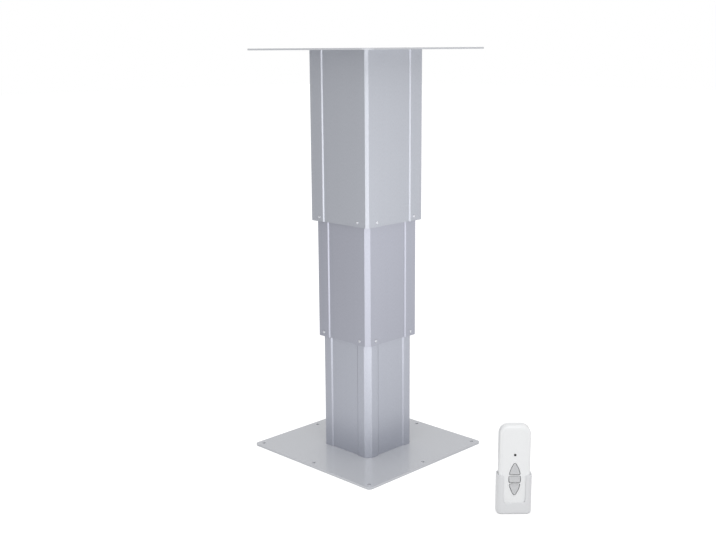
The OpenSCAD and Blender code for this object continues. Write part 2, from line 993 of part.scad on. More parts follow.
// From the handset's own frame to where it stands
module at_handset() {
    translate([holder_x, holder_y, 0])
        rotate([0, 0, handset_turn])
            children();
}

// A shape drawn as (x, z) seen from the front, extruded from y0 to y1
module facing(y0, y1) {
    translate([0, y1, 0])
        rotate([90, 0, 0])
            linear_extrude(y1 - y0)
                children();
}

module handset_front_view(inset) {
    w = handset_w - 2 * inset;
    z0 = handset_z + inset;
    z1 = handset_top - inset;
    top_r = handset_top_r - inset;
    foot_r = handset_foot_r - inset;
    translate([-w / 2, z0 + foot_r])
        square([w, z1 - top_r - z0 - foot_r]);
    translate([-w / 2 + foot_r, z0])
        square([w - 2 * foot_r, foot_r + 1]);
    translate([-w / 2 + top_r, z1 - top_r - 1])
        square([w - 2 * top_r, top_r + 1]);
    for (s = [-1, 1]) {
        translate([s * (w / 2 - foot_r), z0 + foot_r])
            circle(foot_r);
        translate([s * (w / 2 - top_r), z1 - top_r])
            circle(top_r);
    }
}

// The handset's whole form: front outline and rounded cross-section together
module handset_form(inset) {
    t = handset_t - 2 * inset;
    intersection() {
        facing(-t / 2, t / 2)
            handset_front_view(inset);
        linear_extrude(handset_top + 1)
            rounded_rect(handset_w - 2 * inset, t, handset_corner_r - inset);
    }
}

module half_space(front) {
    reach = handset_top + 10;
    translate([-reach / 2, front ? -reach : 0, 0])
        cube([reach, reach, reach]);
}

module handset_shell(front) {
    intersection() {
        difference() {
            handset_form(0);
            handset_form(shell_wall);
        }
        half_space(front);
    }
}

module button_shape(row, grow) {
    intersection() {
        translate([-(lens_r - lens_half_w), lens_mid_z])
            circle(lens_r + grow);
        translate([lens_r - lens_half_w, lens_mid_z])
            circle(lens_r + grow);
        translate([-lens_half_w - grow, row[0] - grow])
            square([2 * (lens_half_w + grow), row[1] - row[0] + 2 * grow]);
    }
}

front_y = -handset_t / 2;
back_y = handset_t / 2;

module button(row) {
    inner_face = front_y + shell_wall + press_gap;
    color([0.78, 0.79, 0.80])
        at_handset() {
            facing(front_y - button_proud, inner_face + tiny)
                button_shape(row, 0);
            facing(inner_face, inner_face + button_flange_t)
                button_shape(row, button_flange_w);
        }
}

module at_case_screws() {
    for (s = [-1, 1])
        translate([s * case_screw_x, 0, case_screw_z])
            rotate([-90, 0, 0])
                children();
}

module handset_front() {
    color([0.93, 0.94, 0.94])
        at_handset()
            difference() {
                union() {
                    handset_shell(true);
                    at_case_screws()
                        rod(case_boss_r, front_y + shell_wall - tiny, 0);
                }
                for (row = button_rows)
                    facing(front_y - 1, front_y + shell_wall + 1)
                        button_shape(row, press_gap);
                translate([0, 0, led_z])
                    rotate([90, 0, 0])
                        rod(led_r + seat_gap, -front_y - shell_wall - 1, -front_y + 1);
                at_case_screws()
                    rod(case_screw_r + run_gap, -case_bite - 1, 1);
            }
}

module handset_back() {
    ledge_y = back_y - shell_wall;
    color([0.92, 0.93, 0.93])
        at_handset()
            difference() {
                union() {
                    handset_shell(false);
                    at_case_screws()
                        rod(case_boss_r, 0, back_y - shell_wall + tiny);
                }
                // recess for the battery door and the opening under it
                translate([-door_w / 2 - seat_gap, back_y - door_t - seat_gap, door_z[0] - seat_gap])
                    cube([door_w + 2 * seat_gap, 5, door_z[1] - door_z[0] + 2 * seat_gap]);
                translate([-door_w / 2 + door_ledge, ledge_y - 1, door_z[0] + door_ledge])
                    cube([door_w - 2 * door_ledge, 5, door_z[1] - door_z[0] - 2 * door_ledge]);
                at_case_screws() {
                    rod(case_screw_r + seat_gap, -1, back_y + 1);
                    rod(case_head_r + seat_gap, back_y - case_sink, back_y + 1);
                }
            }
}

module battery_door() {
    color([0.91, 0.92, 0.92])
        at_handset()
            difference() {
                translate([-door_w / 2, back_y - door_t, door_z[0]])
                    cube([door_w, door_t, door_z[1] - door_z[0]]);
                // three grip grooves
                for (i = [0:2])
                    translate([
                        -grip_size[0] / 2,
                        back_y - grip_depth,
                        door_z[0] + grip_from + grip_pitch * i
                    ])
                        cube(grip_size);
            }
}

module handset_board() {
    color([0.10, 0.36, 0.20])
        at_handset() {
            difference() {
                facing(-pcb_y, -pcb_y + board_t)
                    translate([-pcb_w / 2, pcb_z[0]])
                        square([pcb_w, pcb_z[1] - pcb_z[0]]);
                at_case_screws()
                    rod(case_boss_r + seat_gap, -pcb_y - 1, 0);
            }
        }
}

module handset_led() {
    color([0.05, 0.05, 0.06])
        at_handset()
            translate([0, 0, led_z])
                rotate([90, 0, 0])
                    rod(led_r, pcb_y, -front_y + 0.3);
}

module handset_battery() {
    color([0.75, 0.62, 0.30])
        at_handset()
            translate([0, -pcb_y + board_t + seat_gap + cell_r, 0])
                rod(cell_r, cell_z, cell_z + cell_h);
}

module handset_screws() {
    color([0.25, 0.25, 0.27])
        at_handset()
            at_case_screws()
                translate([0, 0, back_y - case_sink])
                    pan_screw([case_screw_r, case_head_r, case_head_h], back_y - case_sink + case_bite);
}

module up_button() {
    button(button_rows[0]);
}

module stop_button() {
    button(button_rows[1]);
}

module down_button() {
    button(button_rows[2]);
}

// Cradle open at the top and down its front, with a flat foot
module remote_holder() {
    w = handset_w + 2 * (hold_gap + holder_wall);
    t = handset_t + 2 * (hold_gap + holder_wall);
    window_w = handset_w - 15;
    window_r = 6;
    color([0.86, 0.87, 0.88])
        at_handset()
            difference() {
                linear_extrude(holder_h)
                    rounded_rect(w, t, handset_corner_r + hold_gap + holder_wall);
                translate([0, 0, holder_floor_t])
                    linear_extrude(holder_h)
                        rounded_rect(handset_w + 2 * hold_gap, handset_t + 2 * hold_gap,
                                     handset_corner_r + hold_gap);
                // the open front between the two arms
                facing(-t, -handset_t / 2 + 2) {
                    translate([-window_w / 2, holder_band_h + window_r])
                        square([window_w, holder_h]);
                    translate([-window_w / 2 + window_r, holder_band_h])
                        square([window_w - 2 * window_r, holder_h]);
                    for (s = [-1, 1])
                        translate([s * (window_w / 2 - window_r), holder_band_h + window_r])
                            circle(window_r);
                }
            }
}

base_plate();
lower_tube();
lower_corner_blocks();
base_screws();
lower_guide_ring();
lower_nut_plate();
lower_nut();
lower_nut_screws();
remote_holder();
middle_tube();
middle_guide_collar();
middle_collar_screws();
middle_guide_ring();
bearing_plate();
bearing_outer_ring();
bearing_balls();
bearing_retainer();
bearing_retainer_screws();
hollow_screw();
upper_nut();
bearing_inner_ring();
bearing_circlip();
screw_stop_ring();
upper_tube();
upper_guide_collar();
upper_collar_screws();
top_plate();
upper_corner_blocks();
top_screws();
gearbox_housing();
gearbox_cover();
gearbox_cover_screws();
gearbox_mount_screws();
motor_can();
motor_end_cap();
receiver_case();
receiver_cover();
receiver_board();
receiver_screws();
power_socket();
power_socket_nut();
inner_screw();
screw_stop_bolt();
screw_washer();
screw_top_nut();
handset_front();
handset_back();
handset_board();
handset_led();
handset_battery();
handset_screws();
up_button();
stop_button();
down_button();
battery_door();
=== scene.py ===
"""Dresses the electric lifting column: plates, nested tubes, drive and radio handset."""

import math

import bmesh
import bpy
from mathutils import Matrix, Vector


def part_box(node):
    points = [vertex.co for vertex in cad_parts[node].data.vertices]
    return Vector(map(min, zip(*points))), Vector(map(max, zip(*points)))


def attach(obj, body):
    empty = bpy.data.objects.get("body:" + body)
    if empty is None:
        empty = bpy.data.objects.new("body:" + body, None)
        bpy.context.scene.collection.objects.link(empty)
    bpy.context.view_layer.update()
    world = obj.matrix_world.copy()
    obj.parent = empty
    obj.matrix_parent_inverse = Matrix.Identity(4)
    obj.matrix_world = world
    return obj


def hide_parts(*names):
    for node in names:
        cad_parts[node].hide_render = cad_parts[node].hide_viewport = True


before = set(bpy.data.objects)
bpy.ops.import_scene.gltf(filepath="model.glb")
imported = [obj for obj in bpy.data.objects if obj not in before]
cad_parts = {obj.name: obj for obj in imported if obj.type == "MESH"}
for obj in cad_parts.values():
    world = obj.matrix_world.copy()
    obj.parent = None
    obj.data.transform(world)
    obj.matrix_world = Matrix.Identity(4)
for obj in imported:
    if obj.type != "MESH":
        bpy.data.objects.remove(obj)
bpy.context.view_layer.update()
scene = bpy.context.scene


# -------- base plate
# A 300 mm square of 4 mm steel, laser cut with rounded corners and a fixing
# hole near each corner and at the middle of each side. It is sprayed silver
# under clear lacquer, so it shows the column standing on it as a soft mirror.
def linear(hex_colour):
    """An sRGB hex colour as the linear RGBA that a socket takes."""
    parts = [int(hex_colour[i : i + 2], 16) / 255 for i in (1, 3, 5)]
    return [c / 12.92 if c <= 0.04045 else ((c + 0.055) / 1.055) ** 2.4 for c in parts] + [1.0]


def fill(tree, node, inputs):
    """Sets a node's inputs, found by name or number, or links them to a socket or a node."""
    for name, value in inputs.items():
        socket = node.inputs[int(name[1:]) if name[0] == "_" else name.replace("_", " ")]
        if isinstance(value, bpy.types.Node):
            value = value.outputs[0]
        if isinstance(value, bpy.types.NodeSocket):
            tree.links.new(value, socket)
        else:
            socket.default_value = linear(value) if isinstance(value, str) else value


def add_node(tree, kind, settings=None, **inputs):
    """Adds a node with its settings, or its operation alone, and its inputs."""
    made = tree.nodes.new(kind)
    if isinstance(settings, str):
        settings = {"operation": settings}
    for name, value in (settings or {}).items():
        setattr(made, name, value)
    fill(tree, made, inputs)
    return made


def set_surface(material, **inputs):
    """Sets or links inputs of a material's Principled surface."""
    tree = material.node_tree
    fill(tree, tree.nodes["Principled BSDF"], inputs)


def new_material(name, **inputs):
    """A material with a Principled surface."""
    material = bpy.data.materials.new(name)
    material.use_nodes = True
    set_surface(material, **inputs)
    return material


def pattern_on(material, kind, settings=None, stretch=(1, 1, 1), turn=(0, 0, 0), **inputs):
    """Adds a texture that follows the piece, longer along an axis with less stretch."""
    tree = material.node_tree
    place = add_node(tree, "ShaderNodeTexCoord").outputs["Object"]
    fitted = add_node(tree, "ShaderNodeMapping", Vector=place, Scale=stretch, Rotation=turn)
    return add_node(tree, kind, settings, Vector=fitted, **inputs)


def emboss(material, pattern, height_mm, strength, layer="Normal"):
    """Lets a pattern stand out of a layer of the surface."""
    bump = add_node(
        material.node_tree, "ShaderNodeBump",
        Height=pattern, Strength=strength, Distance=height_mm / 1000,
    )
    set_surface(material, **{layer: bump})


def grain_bump(material, grit_mm, height_mm, strength, stretch=(1, 1, 1), layer="Normal"):
    """Roughens a layer with grains of that size, and hands over their pattern."""
    scale = 1000 / grit_mm
    grain = pattern_on(material, "ShaderNodeTexNoise", stretch=stretch, Scale=scale, Detail=2.0)
    emboss(material, grain, height_mm, strength, layer)
    return grain


def mottle(material, pattern, socket, low, high):
    """Lets a pattern carry a socket of the surface from one value, or colour, to another."""
    tree = material.node_tree
    least, most = 0.35, 0.65
    ramp = add_node(tree, "ShaderNodeMapRange", Value=pattern, _1=least, _2=most)
    if isinstance(low, str):
        mixed = add_node(
            tree, "ShaderNodeMix", {"data_type": "RGBA"}, Factor=ramp, _6=low, _7=high
        )
        set_surface(material, **{socket: mixed.outputs[2]})
    else:
        fill(tree, ramp, {"_3": low, "_4": high})
        set_surface(material, **{socket: ramp})


def new_object(name, data):
    """An object in the scene for a mesh, a lamp or a camera."""
    made = bpy.data.objects.new(name, data)
    scene.collection.objects.link(made)
    return made


def ease_edges(piece, edge_mm, angle=35, segments=2):
    """Rounds the edges sharper than an angle, or by their weights, and keeps flat faces flat."""
    ease = piece.modifiers.new("eased_edges", "BEVEL")
    ease.width = edge_mm / 1000
    ease.segments = segments
    ease.limit_method = "ANGLE" if angle else "WEIGHT"
    ease.angle_limit = math.radians(angle or 30)
    flat = piece.modifiers.new("flat_faces", "WEIGHTED_NORMAL")
    flat.mode = "FACE_AREA"
    flat.weight = 100


def dress(piece, body, material=None, stands_for=None):
    """Gives a piece its finish and its body, and hides the CAD node that it stands for."""
    if material:
        piece.data.materials.append(material)
    if stands_for:
        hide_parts(stands_for)
    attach(piece, body)


def dress_copy(node, how, body, material, edge_mm, segments=2, bend_mm=None):
    """Stands a copy with eased edges for a CAD node; its bends may be eased by another width."""
    sharp, square = 30, 60
    bend_mm = bend_mm or edge_mm
    widest = max(edge_mm, bend_mm)
    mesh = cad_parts[node].data.copy()
    mesh.name = f"{node}_{how}"
    mesh.materials.clear()
    form = bmesh.new()
    form.from_mesh(mesh)
    bmesh.ops.remove_doubles(form, verts=form.verts, dist=2e-6)
    bmesh.ops.dissolve_limit(
        form, angle_limit=math.radians(0.5), verts=form.verts, edges=form.edges
    )
    for face in form.faces:
        face.smooth = True
    weight = form.edges.layers.float.new("bevel_weight_edge")
    for edge in form.edges:
        turn = math.degrees(edge.calc_face_angle(0.0))
        width = edge_mm if turn > square else bend_mm
        edge[weight] = width / widest if turn > sharp else 0.0
    form.to_mesh(mesh)
    form.free()
    if "custom_normal" in mesh.attributes:
        mesh.attributes.remove(mesh.attributes["custom_normal"])
    piece = new_object(mesh.name, mesh)
    ease_edges(piece, widest, None, segments)
    dress(piece, body, material, node)


# silver paint under clear lacquer: fine aluminium flakes, drawn a few times
# their real size, under a skin of gloss whose orange peel ripples every 3 mm
silver_lacquer = new_material(
    "silver_lacquered_steel",
    Metallic=0.3, Roughness=0.5, Coat_Weight=0.75, Coat_Roughness=0.08, Coat_IOR=1.45,
)
flakes = grain_bump(silver_lacquer, 0.5, 0.02, 0.15)
mottle(silver_lacquer, flakes, "Base Color", "#c0c2c7", "#ccced3")
grain_bump(silver_lacquer, 3.0, 0.02, 0.3, layer="Coat Normal")
dress_copy("base_plate", "lacquered", "root", silver_lacquer, 0.5)

# -------- foot of the column
# A square steel block is fixed in each corner of the lower tube, and a socket
# screw with a sunk head comes up through the base plate into each block.
as_drawn = Matrix.Identity(4)
to_metres = Matrix.Scale(0.001, 4)


def box_mm(node):
    """The lowest and the highest corner of a CAD node in millimetres."""
    return [corner * 1000 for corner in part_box(node)]


def quarter_turn(steps, start=0):
    """Cosines and sines over a quarter turn, from that many quarters on."""
    turns = [math.radians(90 * (start + i / steps)) for i in range(steps + 1)]
    return [(math.cos(turn), math.sin(turn)) for turn in turns]


def skin(form, loops, closed_rows=True, caps=True):
    """Joins loops of points with faces, and closes the first and the last."""
    rows = [[form.verts.new(point) for point in loop] for loop in loops]
    for low, high in zip(rows, rows[1:]):
        count = len(low)
        for i in range(count if closed_rows else count - 1):
            j = (i + 1) % count
            form.faces.new((low[i], low[j], high[j], high[i]))
    if caps:
        form.faces.new(rows[0][::-1])
        form.faces.new(rows[-1])
    return rows


def moulded(form, name, place):
    """Turns a form drawn in millimetres into a piece with its place in its mesh."""
    bmesh.ops.remove_doubles(form, verts=form.verts, dist=1e-4)
    bmesh.ops.recalc_face_normals(form, faces=form.faces)
    for face in form.faces:
        face.smooth = True
    form.transform(place)
    mesh = bpy.data.meshes.new(name)
    form.to_mesh(mesh)
    form.free()
    return new_object(name, mesh)


def lofted(name, loops, place=as_drawn, caps=True):
    """A piece whose skin joins loops of points in millimetres."""
    form = bmesh.new()
    skin(form, loops, caps=caps)
    return moulded(form, name, place)


def turned(name, outline, place=as_drawn, count=36, bored=False):
    """A piece turned about Z from radii and heights; a third value of 6 makes a hexagon."""
    loops = []
    for radius, height, *sides in outline:
        loop = []
        for i in range(count):
            turn = math.tau * i / count
            reach = radius
            if sides:
                reach *= math.cos(math.pi / 6) / math.cos(turn % (math.pi / 3) - math.pi / 6)
            loop.append((reach * math.cos(turn), reach * math.sin(turn), height))
        loops.append(loop)
    return lofted(name, loops + loops[:1] if bored else loops, place, caps=not bored)


def sized_tree(name, **sizes):
    """A Geometry Nodes tree that takes a geometry, sizes and a finish, and its inputs."""
    tree = bpy.data.node_groups.new(name, "GeometryNodeTree")
    for label, kind in {"Geometry": "Geometry", **sizes, "Finish": "Material"}.items():
        tree.interface.new_socket(
            label.replace("_", " "), in_out="INPUT", socket_type="NodeSocket" + kind
        )
    tree.interface.new_socket("Geometry", in_out="OUTPUT", socket_type="NodeSocketGeometry")
    return tree, tree.nodes.new("NodeGroupInput").outputs


def close_tree(tree, given, shape):
    """Ends a tree with real geometry in its finish."""
    real = add_node(tree, "GeometryNodeRealizeInstances", Geometry=shape)
    dressed = add_node(tree, "GeometryNodeSetMaterial", Geometry=real, Material=given["Finish"])
    add_node(tree, "NodeGroupOutput", Geometry=dressed)
    return tree


def keep_result(piece):
    """Makes what a piece's modifiers show into its plain mesh."""
    seen = bpy.context.evaluated_depsgraph_get()
    made = bpy.data.meshes.new_from_object(piece.evaluated_get(seen))
    piece.modifiers.clear()
    piece.data = made


def run_tree(piece, tree, **values):
    """Runs a Geometry Nodes tree on a piece with values for its named inputs."""
    step = piece.modifiers.new(tree.name, "NODES")
    step.node_group = tree
    for item in tree.interface.items_tree:
        label = item.name.replace(" ", "_")
        if item.in_out == "INPUT" and label in values:
            step[item.identifier] = values[label]
    keep_result(piece)


def put_in_place(piece, place=to_metres):
    """Moves a finished mesh to where it stands and marks its sharp edges."""
    piece.data.transform(place)
    piece.data.shade_smooth()
    piece.data.set_sharp_from_angle(angle=math.radians(32))


# a thread: one ridge along a spiral for each start, joined to its core
tree, given = sized_tree(
    "rolled_thread", Crest_Radius="Float", Root_Radius="Float", Pitch="Float", Starts="Int",
    From_Height="Float", Length="Float", Steps="Int",
)
depth = add_node(
    tree, "ShaderNodeMath", "SUBTRACT", _0=given["Crest Radius"], _1=given["Root Radius"]
)
middle = add_node(
    tree, "ShaderNodeMath", "MULTIPLY_ADD", _0=depth, _1=0.5, _2=given["Root Radius"]
)
lead = add_node(tree, "ShaderNodeMath", "MULTIPLY", _0=given["Pitch"], _1=given["Starts"])
turns = add_node(tree, "ShaderNodeMath", "DIVIDE", _0=given["Length"], _1=lead)
path = add_node(
    tree, "GeometryNodeCurveSpiral", Resolution=given["Steps"], Rotations=turns,
    Start_Radius=middle, End_Radius=middle, Height=given["Length"], Reverse=True,
)
upright = add_node(tree, "GeometryNodeSetCurveNormal", {"mode": "Z_UP"}, Curve=path)
root_width, crest_width = (
    add_node(tree, "ShaderNodeMath", "MULTIPLY", _0=given["Pitch"], _1=share)
    for share in (0.68, 0.32)
)
flank = add_node(
    tree, "GeometryNodeCurvePrimitiveQuadrilateral", {"mode": "TRAPEZOID"},
    Height=depth, Bottom_Width=root_width, Top_Width=crest_width, Offset=0.0,
)
outward = add_node(tree, "GeometryNodeTransform", Geometry=flank, Rotation=(0, 0, 1.5 * math.pi))
ridge = add_node(
    tree, "GeometryNodeCurveToMesh", Curve=upright, Profile_Curve=outward, Fill_Caps=True
)
one_turn = add_node(tree, "ShaderNodeMath", "DIVIDE", _0=math.tau, _1=given["Starts"])
order = add_node(tree, "GeometryNodeInputIndex")
angle = add_node(tree, "ShaderNodeMath", "MULTIPLY", _0=one_turn, _1=order)
start_turn = add_node(tree, "ShaderNodeCombineXYZ", Z=angle)
start_height = add_node(tree, "ShaderNodeCombineXYZ", Z=given["From Height"])
starts = add_node(tree, "GeometryNodePoints", Count=given["Starts"], Position=start_height)
ridges = add_node(
    tree, "GeometryNodeInstanceOnPoints", Points=starts, Instance=ridge, Rotation=start_turn
)
whole = add_node(tree, "GeometryNodeJoinGeometry", Geometry=ridges)
tree.links.new(given["Geometry"], whole.inputs[0])
rolled_thread = close_tree(tree, given, whole)

# the same piece a number of times in a straight row
tree, given = sized_tree("even_row", Count="Int", Start="Vector", Step="Vector", Turn="Vector")
line = add_node(
    tree, "GeometryNodeMeshLine",
    Count=given["Count"], Start_Location=given["Start"], Offset=given["Step"],
)
placed = add_node(
    tree, "GeometryNodeInstanceOnPoints",
    Points=line, Instance=given["Geometry"], Rotation=given["Turn"],
)
even_row = close_tree(tree, given, placed)

# bright mild steel milled to size: a grey metal with the cutter's fine arcs
wave_per_mm = 314  # the scale at which a wave texture repeats every millimetre
milled_steel = new_material(
    "milled_bright_steel", Base_Color="#b2b3b6", Metallic=1.0, Roughness=0.34
)
arcs = pattern_on(
    milled_steel, "ShaderNodeTexWave", {"wave_type": "RINGS", "rings_direction": "Z"},
    Scale=wave_per_mm / 0.9, Distortion=0.6, Detail=1.0,
)
emboss(milled_steel, arcs.outputs["Fac"], 0.03, 0.3)

# black oxide screws: a thin dark skin on steel, a little uneven and oily
black_oxide = new_material("black_oxide_steel", Metallic=1.0, Roughness=0.4)
grain = grain_bump(black_oxide, 0.6, 0.01, 0.2)
mottle(black_oxide, grain, "Base Color", "#232326", "#3a3a3d")


def socket_screw(name, finish, shank_r, head_r, head_h, length, pitch, sunk=False):
    """A screw at the origin, head up, with a hexagon socket; a sunk head lies below z = 0."""
    core = shank_r - 0.6 * pitch
    neck = head_h + pitch if sunk else pitch
    outline = [(core - 0.4 * pitch, -length), (core, 0.4 * pitch - length), (core, -neck)]
    if sunk:
        socket_r, floor_z = 0.75 * shank_r, -0.7 * head_h
        outline += [(shank_r, -head_h), (head_r, 0.0), (socket_r, 0.0, 6)]
    else:
        socket_r, floor_z, round_r = 0.5 * head_r, 0.4 * head_h, 0.45 * head_h
        outline += [(shank_r, 0.0), (head_r, 0.0)]
        outline += [
            (head_r - round_r * (1 - c), head_h - round_r * (1 - s)) for c, s in quarter_turn(4)
        ]
        outline.append((socket_r, head_h, 6))
    outline.append((socket_r, floor_z, 6))
    screw = turned(name, outline)
    run_tree(
        screw, rolled_thread, Crest_Radius=shank_r, Root_Radius=core - 0.1, Pitch=pitch, Starts=1,
        From_Height=0.6 * pitch - length, Length=length - neck - 0.6 * pitch, Steps=12,
        Finish=finish,
    )
    return screw


def four_screws(node, body, head_at, turn=(0.0, 0.0, 0.0), **sizes):
    """Four equal screws whose heads' faces, or seats, are at that height in millimetres."""
    reach = Vector((1, 1, 0)) * sizes["head_r"]
    low, high = box_mm(node)[0] + reach, box_mm(node)[1] - reach
    screws = socket_screw(node + "_threaded", black_oxide, **sizes)
    run_tree(
        screws, even_row, Count=2, Start=(low.x, low.y, head_at), Step=(high.x - low.x, 0.0, 0.0),
        Turn=turn, Finish=black_oxide,
    )
    run_tree(screws, even_row, Count=2, Step=(0.0, high.y - low.y, 0.0), Finish=black_oxide)
    put_in_place(screws)
    dress(screws, body, stands_for=node)


dress_copy("lower_corner_blocks", "milled", "root", milled_steel, 0.4)
upside_down = (math.pi, 0.0, 0.0)
four_screws(
    "base_screws", "root", 0.2, upside_down,
    shank_r=3.0, head_r=6.0, head_h=3.0, length=18.0, pitch=1.0, sunk=True,
)

# -------- tubes
# Three nested tubes of extruded aluminium, each with a flat post along every
# corner and a sunk panel between. They are blasted and anodised in natural
# silver, which leaves a satin surface with a faint grain along the length.
for node, body, dull, keen in (
    ("lower_tube", "root", "#b3b6c0", "#bbbec8"),
    # painted shade: the three tubes share one finish, and the middle tube's copy of it is drawn
    # darker
    ("middle_tube", "middle_stage", "#a9abb6", "#b1b3be"),
    ("upper_tube", "upper_stage", "#b2b5bd", "#babdc5"),
):
    # anodised aluminium: a clear oxide over blasted metal scatters a little of
    # the light, and die lines a millimetre or two wide run the whole length
    anodised = new_material("satin_anodised_aluminium_" + node, Metallic=0.82)
    blasting = grain_bump(anodised, 0.5, 0.012, 0.5, stretch=(1, 1, 0.12))
    mottle(anodised, blasting, "Base Color", dull, keen)
    die_lines = pattern_on(
        anodised, "ShaderNodeTexNoise", stretch=(1, 1, 0.004), Scale=600, Detail=3.0
    )
    mottle(anodised, die_lines, "Roughness", 0.345, 0.415)
    dress_copy(node, "extrusion", body, anodised, 0.35, segments=3, bend_mm=0.95)

# -------- guides
# Black polyamide collars sit inside the lower ends of the two moving tubes,
# and lipped rings close the upper ends of the two tubes that they slide on.
# Two small zinc-plated screws through each face hold every collar.
polyamide = new_material("moulded_black_polyamide", Base_Color="#1c1c1e", IOR=1.53)
grain = grain_bump(polyamide, 0.5, 0.03, 0.35, stretch=(1, 1, 0.3))
mottle(polyamide, grain, "Roughness", 0.4, 0.52)
for node, body in (
    ("lower_guide_ring", "root"),
    ("middle_guide_collar", "middle_stage"),
    ("middle_guide_ring", "middle_stage"),
    ("upper_guide_collar", "upper_stage"),
):
    dress_copy(node, "moulded", body, polyamide, 0.25)

# bright zinc plating: a cool, fairly sharp mirror, faintly clouded
zinc = new_material("bright_zinc_plated_steel", Base_Color="#d0d2d6", Metallic=1.0)
mottle(zinc, grain_bump(zinc, 0.5, 0.01, 0.15), "Roughness", 0.2, 0.3)

# two screws on each of a square tube's four faces
tree, given = sized_tree("face_pairs", Face_Distance="Float", Spacing="Float", Height="Float")
first_x, first_y = (
    add_node(tree, "ShaderNodeMath", "MULTIPLY", _0=given[size], _1=share)
    for size, share in (("Spacing", -0.5), ("Face Distance", -1.0))
)
first = add_node(tree, "ShaderNodeCombineXYZ", X=first_x, Y=first_y, Z=given["Height"])
apart = add_node(tree, "ShaderNodeCombineXYZ", X=given["Spacing"])
pair = add_node(tree, "GeometryNodeMeshLine", Count=2, Start_Location=first, Offset=apart)
facing_out = add_node(
    tree, "GeometryNodeInstanceOnPoints",
    Points=pair, Instance=given["Geometry"], Rotation=(math.pi / 2, 0, 0),
)
faces = add_node(tree, "GeometryNodePoints", Count=4)
order = add_node(tree, "GeometryNodeInputIndex")
quarter = add_node(tree, "ShaderNodeMath", "MULTIPLY", _0=order, _1=math.pi / 2)
face_turn = add_node(tree, "ShaderNodeCombineXYZ", Z=quarter)
all_faces = add_node(
    tree, "GeometryNodeInstanceOnPoints", Points=faces, Instance=facing_out, Rotation=face_turn
)
face_pairs = close_tree(tree, given, all_faces)

collar_head_r, collar_head_h = 2.75, 1.2
for node, body, edge in (
    ("middle_collar_screws", "middle_stage", 20.0),
    ("upper_collar_screws", "upper_stage", 24.0),
):
    low, high = box_mm(node)
    face_distance = high.x - collar_head_h
    screws = socket_screw(
        node + "_threaded", zinc,
        shank_r=1.5, head_r=collar_head_r, head_h=collar_head_h, length=3.2, pitch=0.5,
    )
    run_tree(
        screws, face_pairs, Face_Distance=face_distance, Spacing=2 * (face_distance - edge),
        Height=(low.z + high.z) / 2, Finish=zinc,
    )
    put_in_place(screws)
    dress(screws, body, stands_for=node)

# -------- lower nut
# The nut of the hollow screw is turned from bronze bar. Four socket screws
# pull its flange up against a milled steel plate near the lower tube's top.
bronze = new_material("turned_tin_bronze", Metallic=1.0, Roughness=0.3)
grooves = pattern_on(
    bronze, "ShaderNodeTexWave", {"wave_type": "BANDS", "bands_direction": "Z"},
    Scale=wave_per_mm / 0.4, Distortion=0.2,
)
emboss(bronze, grooves.outputs["Fac"], 0.03, 0.35)
tarnish = pattern_on(bronze, "ShaderNodeTexNoise", Scale=120, Detail=3.0)
mottle(bronze, tarnish, "Base Color", "#a97c45", "#c9a067")

dress_copy("lower_nut_plate", "milled", "root", milled_steel, 0.4)
dress_copy("lower_nut", "turned", "root", bronze, 0.5)
four_screws(
    "lower_nut_screws", "root", box_mm("lower_nut_plate")[1].z,
    shank_r=2.5, head_r=4.2, head_h=2.6, length=11.0, pitch=0.8,
)

# -------- hollow screw
# A steel tube with a rolled thread of four starts, 16 mm of lead, and a turned
# head that runs in a ball bearing. Its own bronze nut is pressed into the head,
# and a ring near its foot stops it in the lower nut.
rolled_steel = new_material("rolled_screw_steel", Base_Color="#b7b8ba", Metallic=1.0)
grain = grain_bump(rolled_steel, 0.5, 0.01, 0.2, stretch=(0.3, 0.3, 1))
mottle(rolled_steel, grain, "Roughness", 0.2, 0.34)
# ground bearing steel: the brightest metal in the column, nearly a mirror
bearing_steel = new_material("ground_bearing_steel", Base_Color="#cdced1", Metallic=1.0)
grain = grain_bump(bearing_steel, 0.3, 0.004, 0.15, stretch=(1, 1, 3))
mottle(bearing_steel, grain, "Roughness", 0.11, 0.19)
# spring steel tempered blue-black
spring_steel = new_material("blued_spring_steel", Metallic=1.0, Roughness=0.35)
mottle(spring_steel, grain_bump(spring_steel, 0.6, 0.01, 0.2), "Base Color", "#33343c", "#4a4b50")

bore_r, core_r, collar_r, journal_r, groove_r = 10.0, 11.8, 17.0, 14.95, 14.25
foot_z, shoulder_z, journal_z, head_z, seat_z = 232.0, 460.5, 463.5, 473.0, 449.0
hollow = turned(
    "hollow_screw_rolled",
    [
        (bore_r, foot_z), (core_r - 0.4, foot_z), (core_r, foot_z + 0.4),
        (core_r, shoulder_z - 1.5), (14.0, shoulder_z - 0.6), (collar_r - 0.5, shoulder_z),
        (collar_r, shoulder_z + 0.5), (collar_r, journal_z), (journal_r, journal_z),
        (journal_r, 470.7), (groove_r, 470.7), (groove_r, 471.9), (journal_r, 471.9),
        (journal_r, head_z - 0.4), (14.6, head_z), (12.05, head_z), (12.05, seat_z),
        (bore_r, seat_z),
    ],
    count=72, bored=True,
)
run_tree(
    hollow, rolled_thread, Crest_Radius=14.0, Root_Radius=11.6, Pitch=4.0, Starts=4,
    From_Height=foot_z + 1.5, Length=shoulder_z - foot_z - 3.5, Steps=32, Finish=rolled_steel,
)
put_in_place(hollow)
dress(hollow, "hollow_spindle", stands_for="hollow_screw")
dress_copy("upper_nut", "turned", "hollow_spindle", bronze, 0.3)
dress_copy("screw_stop_ring", "tempered", "hollow_spindle", spring_steel, 0.4)

# -------- bearing
# The hollow screw hangs in a deep-groove ball bearing, which a milled plate
# carries across the middle tube. A pressed retainer and a circlip keep it in.
dress_copy("bearing_plate", "milled", "middle_stage", milled_steel, 0.4)
for ring, body in (("outer", "middle_stage"), ("inner", "hollow_spindle")):
    dress_copy(f"bearing_{ring}_ring", "ground", body, bearing_steel, 0.35)

